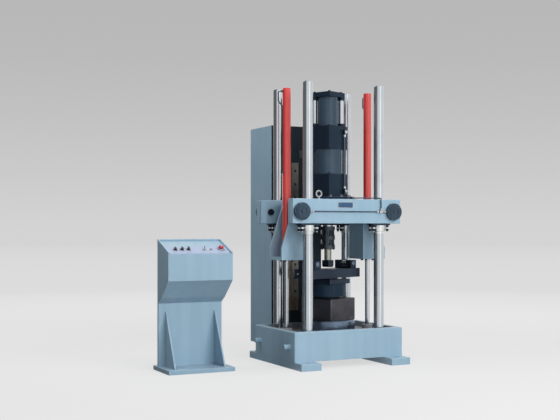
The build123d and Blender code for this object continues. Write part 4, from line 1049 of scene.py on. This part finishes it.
# %% Fixture hardware
CRADLE_PLACE = 0.268
CRADLE_HALF = 0.094
KEEPER_SCREW_OUT = 0.029
KEEPER_SCREW_DROP = 0.026
KEEPER = [(0.0225, -0.001), (0.0225, 0.0035), (0.0210, 0.0050)]
TABLE_END = 0.345
END_SCREW_OUT = 0.072
END_SCREW_RISE = 0.041
COVER_SCREWS = 16
COVER_CIRCLE = 0.156
COVER_RISE = 0.0170
SOCKET_RISE = 0.070
CELL_SIDE = 0.1430
SOCKET_BASE = [(0.019, -0.004), (0.019, 0.004), (0.017, 0.005)]
SOCKET_CAP = [(0.0135, 0.004), (0.0135, 0.016), (0.0125, 0.018), (0.0100, 0.018), (0.0095, 0.012)]
table_low, table_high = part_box("bending_table")
cell_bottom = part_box("load_cell")[0].z
ROLLER_RISE = 0.048
ROLLER_Z = table_high.z + ROLLER_RISE


def keeper_plates(form, side):
    """The plates and screws that keep a roller in its cradle."""
    for edge in SIDES:
        face = ACROSS * (side * CRADLE_PLACE) + DEEP * (edge * CRADLE_HALF) + UP * ROLLER_Z
        turned(form, KEEPER, towards(face, DEEP * edge), 28)
        for across in SIDES:
            place = face + ACROSS * (across * KEEPER_SCREW_OUT) - UP * KEEPER_SCREW_DROP
            cap_screw(form, place, DEEP * edge, radius=0.0055, height=0.005)


def fixture_screws(form):
    """Cap screws on the table's end faces and round the load cell."""
    for deep, across in CORNERS:
        place = ACROSS * (across * TABLE_END) + DEEP * (deep * END_SCREW_OUT)
        place += UP * (table_low.z + END_SCREW_RISE)
        cap_screw(form, place, ACROSS * across, radius=0.009, height=0.005)
    for place in around(COVER_SCREWS, 11.25, COVER_CIRCLE, cell_bottom + COVER_RISE):
        cap_screw(form, place, UP, radius=0.006, height=0.006)


def cell_socket(form):
    """The load cell's round plug socket and its cap."""
    seat = towards(UP * (cell_bottom + SOCKET_RISE) - ACROSS * CELL_SIDE, -ACROSS)
    turned(form, SOCKET_BASE, seat, 32)
    turned(form, SOCKET_CAP, seat, 32)


for side_name, side in (("left", -1), ("right", 1)):
    cradle = "cradle_" + side_name
    piece("roller_keepers_" + side_name, cradle, "black_steel", "oiled blue steel", keeper_plates, side)
piece("fixture_screws", "load_frame", "bright_steel", "ground steel", fixture_screws)
piece("cell_socket", "load_frame", "bright_steel", "ground steel", cell_socket)
print("table top", round(table_high.z, 4), "cell from", round(cell_bottom, 4))

# %% [markdown]
# ## The console's small parts
# The panel is held by screws, the lamp has a lens, the stop button stands in a collar, every knob
# has a white line, and the key has a round bow. Places on the slope are given across the panel and
# up it, and one matrix carries them all to the console.

# %% Console panel
console_low, console_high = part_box("console_housing")
CONSOLE_X = (console_low.x + console_high.x) / 2
PANEL_ANGLE = math.atan2(0.110, 0.280)
PANEL_FOOT_Z = 1.003
panel_frame = at(CONSOLE_X, console_low.y, PANEL_FOOT_Z) @ Matrix.Rotation(PANEL_ANGLE, 4, "X")
PLATE_TOP = 0.003
BEZEL_TOP = 0.008
LAMP_PLACE = (0.122, 0.086)
STOP_PLACE = (0.217, 0.097)
SCREW_XS = (-0.268, -0.09, 0.09, 0.268)
SCREW_YS = (0.018, 0.154)
KNOB_XS = (-0.203, -0.142, -0.084)
KNOB_Y = 0.086
KNOB_TOP = 0.0326
POINTER_SIZE = (0.0022, 0.0150, 0.0010)
POINTER_Y = KNOB_Y + 0.0070
LENS_RADIUS = 0.0110
LENS_HEIGHT = 0.0090
LENS_STEPS = 7
PANEL_SCREW = [(0.0048, -0.0005), (0.0048, 0.0008), (0.0034, 0.0022), (0.0012, 0.0028)]
COLLAR = [(0.0245, 0.0078), (0.0300, 0.0078), (0.0300, 0.0120), (0.0285, 0.0140), (0.0245, 0.0140)]


def panel_screws(form):
    """Four raised-head screws along each long edge of the panel."""
    for place_x in SCREW_XS:
        for place_y in SCREW_YS:
            turned(form, PANEL_SCREW, panel_frame @ at(place_x, place_y, PLATE_TOP), 16)


def lamp_lens(form):
    """The lamp's domed lens."""
    dome = [(LENS_RADIUS, -0.0010)]
    for step in range(LENS_STEPS):
        angle = step * math.pi / (2 * LENS_STEPS)
        dome.append((LENS_RADIUS * math.cos(angle), LENS_HEIGHT * math.sin(angle)))
    turned(form, dome, panel_frame @ at(*LAMP_PLACE, BEZEL_TOP), 28)


def stop_collar(form):
    """The fixed collar round the stop button."""
    hoop(form, COLLAR, panel_frame @ at(*STOP_PLACE, 0.0), 36)


def knob_pointer(form, place_x):
    """A white line along the top of a selector knob."""
    block(form, POINTER_SIZE, panel_frame @ at(place_x, POINTER_Y, KNOB_TOP), bevel_width=0.0003)


piece("panel_screws", "load_frame", "bright_steel", "ground steel", panel_screws)
piece("lamp_lens", "load_frame", "console_plate", "amber lens", lamp_lens)
piece("stop_collar", "load_frame", "bright_steel", "ground steel", stop_collar)
for number, knob_x in enumerate(KNOB_XS, start=1):
    piece(f"knob_pointer_{number}", f"knob_{number}", "console_plate", "white mark", knob_pointer, knob_x)
print("panel slope", round(math.degrees(PANEL_ANGLE), 2))

# %% The key
KEY_PLACE = (0.060, 0.086, 0.0290)
BOW = [(0.0045, -0.0012), (0.0110, -0.0012), (0.0118, 0.0), (0.0110, 0.0012), (0.0045, 0.0012)]


def key_bow(form):
    """The round bow of the key, standing up from the switch."""
    hoop(form, BOW, panel_frame @ at(*KEY_PLACE) @ spun(90, "Y"), 32)


piece("key_bow", "key", "bright_steel", "ground steel", key_bow)
print("key at", KEY_PLACE)

# %% Console welds and rear cover
pedestal_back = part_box("console_pedestal")[1].y
floor_plate_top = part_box("console_base_plate")[1].z
PEDESTAL_THICKNESS = 0.028
PEDESTAL_FRONT = pedestal_back - PEDESTAL_THICKNESS
PEDESTAL_HALF = 0.290
GUSSET_X = 0.225
GUSSET_FOOT = 0.233
GUSSET_HALF = 0.0065
GUSSET_BEAD_HEIGHT = 0.440
COVER_Z = 0.850
COVER_SIZE = (0.460, 0.380, 0.004)
LOUVRE_ROWS = 7
LOUVRE_PITCH = 0.016
LOUVRE_SIZE = (0.130, 0.007, 0.006)
LOUVRE_TILT = spun(24, "X")
COVER_SCREW = [(0.0055, -0.0005), (0.0055, 0.001), (0.0038, 0.0028), (0.0012, 0.0034)]


def console_welds(form):
    """Beads along the pedestal's foot and both sides of the gussets."""
    seam_z = floor_plate_top + 0.001
    foot_y = PEDESTAL_FRONT - GUSSET_FOOT + 0.01
    for edge in SIDES:
        for seam_y in (PEDESTAL_FRONT, pedestal_back):
            end = (CONSOLE_X + edge * PEDESTAL_HALF, seam_y, seam_z)
            weld(form, (CONSOLE_X, seam_y, seam_z), end, 0.004)
        for face in SIDES:
            seam_x = CONSOLE_X + edge * GUSSET_X + face * GUSSET_HALF
            root = (seam_x, PEDESTAL_FRONT, seam_z)
            weld(form, root, (seam_x, foot_y, seam_z), 0.003)
            weld(form, root, (seam_x, PEDESTAL_FRONT, seam_z + GUSSET_BEAD_HEIGHT), 0.003)


def rear_cover(form):
    """The console's rear service cover with pressed louvres."""
    seat = towards((CONSOLE_X, console_high.y, COVER_Z), BACK)
    block(form, COVER_SIZE, seat @ at(0, 0, 0.001), 0.0015)
    for row in range(LOUVRE_ROWS):
        for column in SIDES:
            place = seat @ at(column * 0.095, 0.080 - row * LOUVRE_PITCH, 0.004)
            block(form, LOUVRE_SIZE, place @ LOUVRE_TILT, 0.002)


def rear_screws(form):
    """The cover's screws."""
    seat = towards((CONSOLE_X, console_high.y + 0.003, COVER_Z), BACK)
    for place_x in (-0.215, 0.0, 0.215):
        for place_y in (-0.176, 0.176):
            turned(form, COVER_SCREW, seat @ at(place_x, place_y, 0.0), 16)


piece("console_welds", "load_frame", "frame_paint", "blue grey enamel", console_welds)
piece("console_rear_cover", "load_frame", "frame_paint", "blue grey enamel", rear_cover)
piece("console_rear_screws", "load_frame", "bright_steel", "ground steel", rear_screws)
print("console from", tuple(round(v, 3) for v in console_low))

# %% [markdown]
# ## The cabinet's door and vents
# The photograph doesn't show the cabinet's right side or back. A cabinet of this kind opens on a
# side, on pin hinges with turned locks, and breathes through pressed louvres low and high. The door
# is a thin raised skin, because it is sheet steel with folded edges. A black seal lies round the
# front panel.

# %% Cabinet door
cabinet_low, cabinet_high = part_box("cabinet_shell")
front_low, front_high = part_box("cabinet_front_panel")
DOOR_Y = (cabinet_low.y + cabinet_high.y) / 2
DOOR_Z = (front_low.z + front_high.z) / 2
DOOR_WIDTH = cabinet_high.y - cabinet_low.y - 0.060
DOOR_HEIGHT = front_high.z - front_low.z - 0.080
DOOR_SKIN = 0.012
VENT_SIZE = (0.240, 0.009, 0.008)
VENT_ROWS = 9
VENT_PITCH = 0.020
HINGE_BARREL = [(0.006, -0.018), (0.007, -0.017), (0.007, 0.017), (0.006, 0.018)]
LOCK = [(0.0160, -0.0005), (0.0160, 0.003), (0.0140, 0.005), (0.0060, 0.005), (0.0055, 0.002)]
SEAL_WIDTH = 0.006
SEAL_INSET = 0.008
VENT_GROUPS = (-0.74, 0.66)
HINGE_HEIGHTS = (-0.78, 0.0, 0.78)
LOCK_HEIGHTS = (-0.45, 0.45)
LOCK_INSET = 0.030
across_up_out = Matrix(((0, 0, 1, 0), (1, 0, 0, 0), (0, 1, 0, 0), (0, 0, 0, 1)))
door_seat = at(cabinet_high.x, DOOR_Y, DOOR_Z) @ across_up_out


def cabinet_door(form):
    """The door's skin and its louvres, seen from the cabinet's right."""
    block(form, (DOOR_WIDTH, DOOR_HEIGHT, DOOR_SKIN), door_seat @ at(0, 0, 0.003), 0.004)
    for lowest in VENT_GROUPS:
        for row in range(VENT_ROWS):
            place = door_seat @ at(0, lowest + row * VENT_PITCH, 0.009)
            block(form, VENT_SIZE, place @ LOUVRE_TILT, 0.0025)


def door_hinges(form):
    """Three pin hinges on the door's rear edge, each of two barrels."""
    for height in HINGE_HEIGHTS:
        for part in SIDES:
            barrel = door_seat @ at(DOOR_WIDTH / 2 + 0.008, height + part * 0.020, 0.008)
            turned(form, HINGE_BARREL, barrel @ spun(-90, "X"), 20)


def door_locks(form):
    """Two quarter-turn locks on the door's front edge."""
    for height in LOCK_HEIGHTS:
        turned(form, LOCK, door_seat @ at(LOCK_INSET - DOOR_WIDTH / 2, height, 0.009), 28)


def panel_seal(form):
    """A rubber seal round the dark front panel."""
    width = front_high.x - front_low.x
    height = front_high.z - front_low.z
    seat = towards(((front_low.x + front_high.x) / 2, front_low.y, DOOR_Z), FRONT)
    flat_size = (width - 0.010, SEAL_WIDTH, 0.003)
    tall_size = (SEAL_WIDTH, height - 0.022, 0.003)
    for sign in SIDES:
        block(form, flat_size, seat @ at(0, sign * (height / 2 - SEAL_INSET), 0.001), 0.001)
        block(form, tall_size, seat @ at(sign * (width / 2 - SEAL_INSET), 0, 0.001), 0.001)


piece("cabinet_door", "load_frame", "frame_paint", "blue grey enamel", cabinet_door)
piece("cabinet_hinges", "load_frame", "bright_steel", "ground steel", door_hinges)
piece("cabinet_locks", "load_frame", "black_steel", "black knob", door_locks)
piece("cabinet_seal", "load_frame", "panel_black", "black rubber", panel_seal)
print("door", round(DOOR_WIDTH, 3), "by", round(DOOR_HEIGHT, 3))

# %% [markdown]
# ## The room in the reflections
# In the picture every left side is in shade, every bright column has a dark left edge, and every
# round part has one narrow highlight. All three come from the room: it is dark on the left, and a
# tall strip of light stands beside the camera. Both are masks of a direction, made once in a group,
# because the world and the floor have to show the same room to polished metal.

# %% Room sides
DARK_SIDE = (-0.899, 0.438, 0.0)
STRIP_SIDE = (0.174, -0.985, 0.0)
STRIP_STRENGTH = 0.65
DARKEST = 0.10
ROOM_COLOUR = rgba(0.80, 0.81, 0.82)
tree, given, result = shader_group(
    "room sides", [("Direction", "Vector", (0.0, 0.0, 0.0))], [("Lit", "Float"), ("Light", "Float")]
)
level = vector_node(tree, "MULTIPLY", given["Direction"], (1.0, 1.0, 0.0))
bearing = add(tree, "ShaderNodeVectorMath", {0: level}, operation="NORMALIZE").outputs[0]
dark_share = vector_node(tree, "DOT_PRODUCT", bearing, DARK_SIDE, "Value")
strip_share = vector_node(tree, "DOT_PRODUCT", bearing, STRIP_SIDE, "Value")
lit = remap(tree, dark_share, 0.70, 0.42, DARKEST, 1.0)
strip = remap(tree, strip_share, 0.966, 0.9925, 0.0, STRIP_STRENGTH)
feed(tree, lit, result["Lit"])
feed(tree, math_node(tree, "ADD", lit, strip), result["Light"])
sides_group = tree
print("group", tree.name)

# %% [markdown]
# ## The studio
# The picture's backdrop is a grey that is darker at the top and turns almost white at the floor.
# The floor is a plain pale plane. Close to the machine it takes light and a soft shadow, and far
# away it gives way to the backdrop's own grey, so that no horizon shows. Its own colour is darker
# than it looks: the glow that only the camera and reflections see makes up the rest, and so the
# floor doesn't throw too much light up on the machine.

# %% Floor
FAR_GREY = 0.655
HIGH_GREY = 0.475
FLOOR_HALF = 150.0
FLOOR_GREY = 0.36
FLOOR_DROP = 0.0005
NEAR_GLOW = 1.20
MIDDLE_GLOW = 0.72
NEAR = 3.0
MIDDLE = 11.0
FAR = 70.0
NEAR_SHARE = 0.52
floor_mesh = bpy.data.meshes.new("studio_floor")
floor_form = bmesh.new()
bmesh.ops.create_grid(floor_form, x_segments=8, y_segments=8, size=FLOOR_HALF)
floor_form.to_mesh(floor_mesh)
floor_form.free()
floor = bpy.data.objects.new("studio_floor", floor_mesh)
scene.collection.objects.link(floor)
floor.location.z = cad_low.z - FLOOR_DROP
floor_finish = bpy.data.materials.new("studio floor")
floor_finish.use_nodes = True
tree = floor_finish.node_tree
shader = tree.nodes["Principled BSDF"]
shader.inputs["Base Color"].default_value = grey(FLOOR_GREY)
shader.inputs["Roughness"].default_value = 0.8
shader.inputs["Specular IOR Level"].default_value = 0.1
floor_place = add(tree, "ShaderNodeNewGeometry").outputs["Position"]
distance = add(tree, "ShaderNodeVectorMath", {0: floor_place}, operation="LENGTH").outputs["Value"]
near_share = remap(tree, distance, NEAR, MIDDLE, NEAR_SHARE, 1.0)
near_glow = remap(tree, distance, NEAR, MIDDLE, NEAR_GLOW, MIDDLE_GLOW)
far_loss = remap(tree, distance, MIDDLE, FAR, 0.0, MIDDLE_GLOW - FAR_GREY)
glow = add(tree, "ShaderNodeEmission", {"Strength": math_node(tree, "SUBTRACT", near_glow, far_loss)})
rays = add(tree, "ShaderNodeLightPath").outputs
shown = math_node(tree, "MAXIMUM", rays["Is Camera Ray"], rays["Is Glossy Ray"])
glow_share = math_node(tree, "MULTIPLY", near_share, shown)
plain_floor = mix_shaders(tree, glow_share, shader.outputs[0], glow.outputs[0])
floor_sides = add(tree, "ShaderNodeGroup", {"Direction": floor_place}, node_tree=sides_group).outputs
mirrored = add(tree, "ShaderNodeEmission", {"Color": ROOM_COLOUR, "Strength": floor_sides["Light"]})
floor_surface = mix_shaders(tree, rays["Is Glossy Ray"], plain_floor, mirrored.outputs[0])
feed(tree, floor_surface, tree.nodes["Material Output"].inputs["Surface"])
floor_mesh.materials.append(floor_finish)
print("floor at", round(floor.location.z, 4))

# %% [markdown]
# ## World and lamps
# The camera sees only the backdrop. Reflections see the room of the group above, and diffuse light
# gets an even white fill with the same dark side. The lamps stay out of reflections, so that they
# don't burn white patches into the polished columns.

# %% World
BACKDROP_GREYS = ((0.05, 0.597), (0.11, 0.539), (0.17, 0.491))
BACKDROP_TOP = 0.23
DARK_FILL = 0.15
LIT_FILL = 0.34
world = bpy.data.worlds.new("studio")
scene.world = world
world.use_nodes = True
tree = world.node_tree
tree.nodes.clear()
sky = add(tree, "ShaderNodeTexCoord").outputs["Generated"]
height = add(tree, "ShaderNodeSeparateXYZ", {0: sky}).outputs["Z"]
sky_ramp = add(tree, "ShaderNodeValToRGB", {0: height})
ramp = sky_ramp.color_ramp
ramp.elements[0].color = grey(FAR_GREY)
ramp.elements[1].position = BACKDROP_TOP
ramp.elements[1].color = grey(HIGH_GREY)
for position, tone in BACKDROP_GREYS:
    ramp.elements.new(position).color = grey(tone)
backdrop = add(tree, "ShaderNodeBackground", {"Color": sky_ramp.outputs[0]})
sky_sides = add(tree, "ShaderNodeGroup", {"Direction": sky}, node_tree=sides_group).outputs
room_light = math_node(tree, "ADD", sky_sides["Light"], DARKEST)
mirrored = add(tree, "ShaderNodeBackground", {"Color": ROOM_COLOUR, "Strength": room_light})
fill_light = remap(tree, sky_sides["Lit"], DARKEST, 1.0, DARK_FILL, LIT_FILL)
fill = add(tree, "ShaderNodeBackground", {"Color": grey(1.0), "Strength": fill_light})
rays = add(tree, "ShaderNodeLightPath").outputs
unseen = mix_shaders(tree, rays["Is Glossy Ray"], fill.outputs[0], mirrored.outputs[0])
seen = math_node(tree, "MAXIMUM", rays["Is Camera Ray"], rays["Is Transmission Ray"])
sky_surface = mix_shaders(tree, seen, unseen, backdrop.outputs[0])
add(tree, "ShaderNodeOutputWorld", {"Surface": sky_surface})
scene.view_settings.view_transform = "Standard"
print("world", world.name, "dark towards", DARK_SIDE)

# %% Lamps


def softbox(name, location, aim, width, height, power):
    """A large soft lamp that faces its aim and stays out of reflections."""
    data = bpy.data.lights.new(name, "AREA")
    data.shape = "RECTANGLE"
    data.size = width
    data.size_y = height
    data.energy = power
    lamp = bpy.data.objects.new(name, data)
    scene.collection.objects.link(lamp)
    lamp.location = location
    direction = Vector(aim) - Vector(location)
    lamp.rotation_euler = direction.to_track_quat("-Z", "Y").to_euler()
    lamp.visible_glossy = False


softbox("key_light", (1.6, -6.6, 4.2), (0, 0, 1.5), width=4.0, height=3.0, power=325)
softbox("front_fill", (-1.8, -8.0, 1.4), (-0.4, 0, 1.3), width=3.0, height=2.0, power=175)
softbox("top_light", (0.5, -1.5, 6.5), (0, 0, 0), width=5.0, height=5.0, power=118)
softbox("high_left", (-3.0, 0.60, 4.2), (-0.37, 0.65, 1.7), width=1.6, height=1.6, power=66)
softbox("rear_rim", (4.5, 4.0, 4.0), (0, 0, 1.2), width=2.5, height=3.5, power=60)
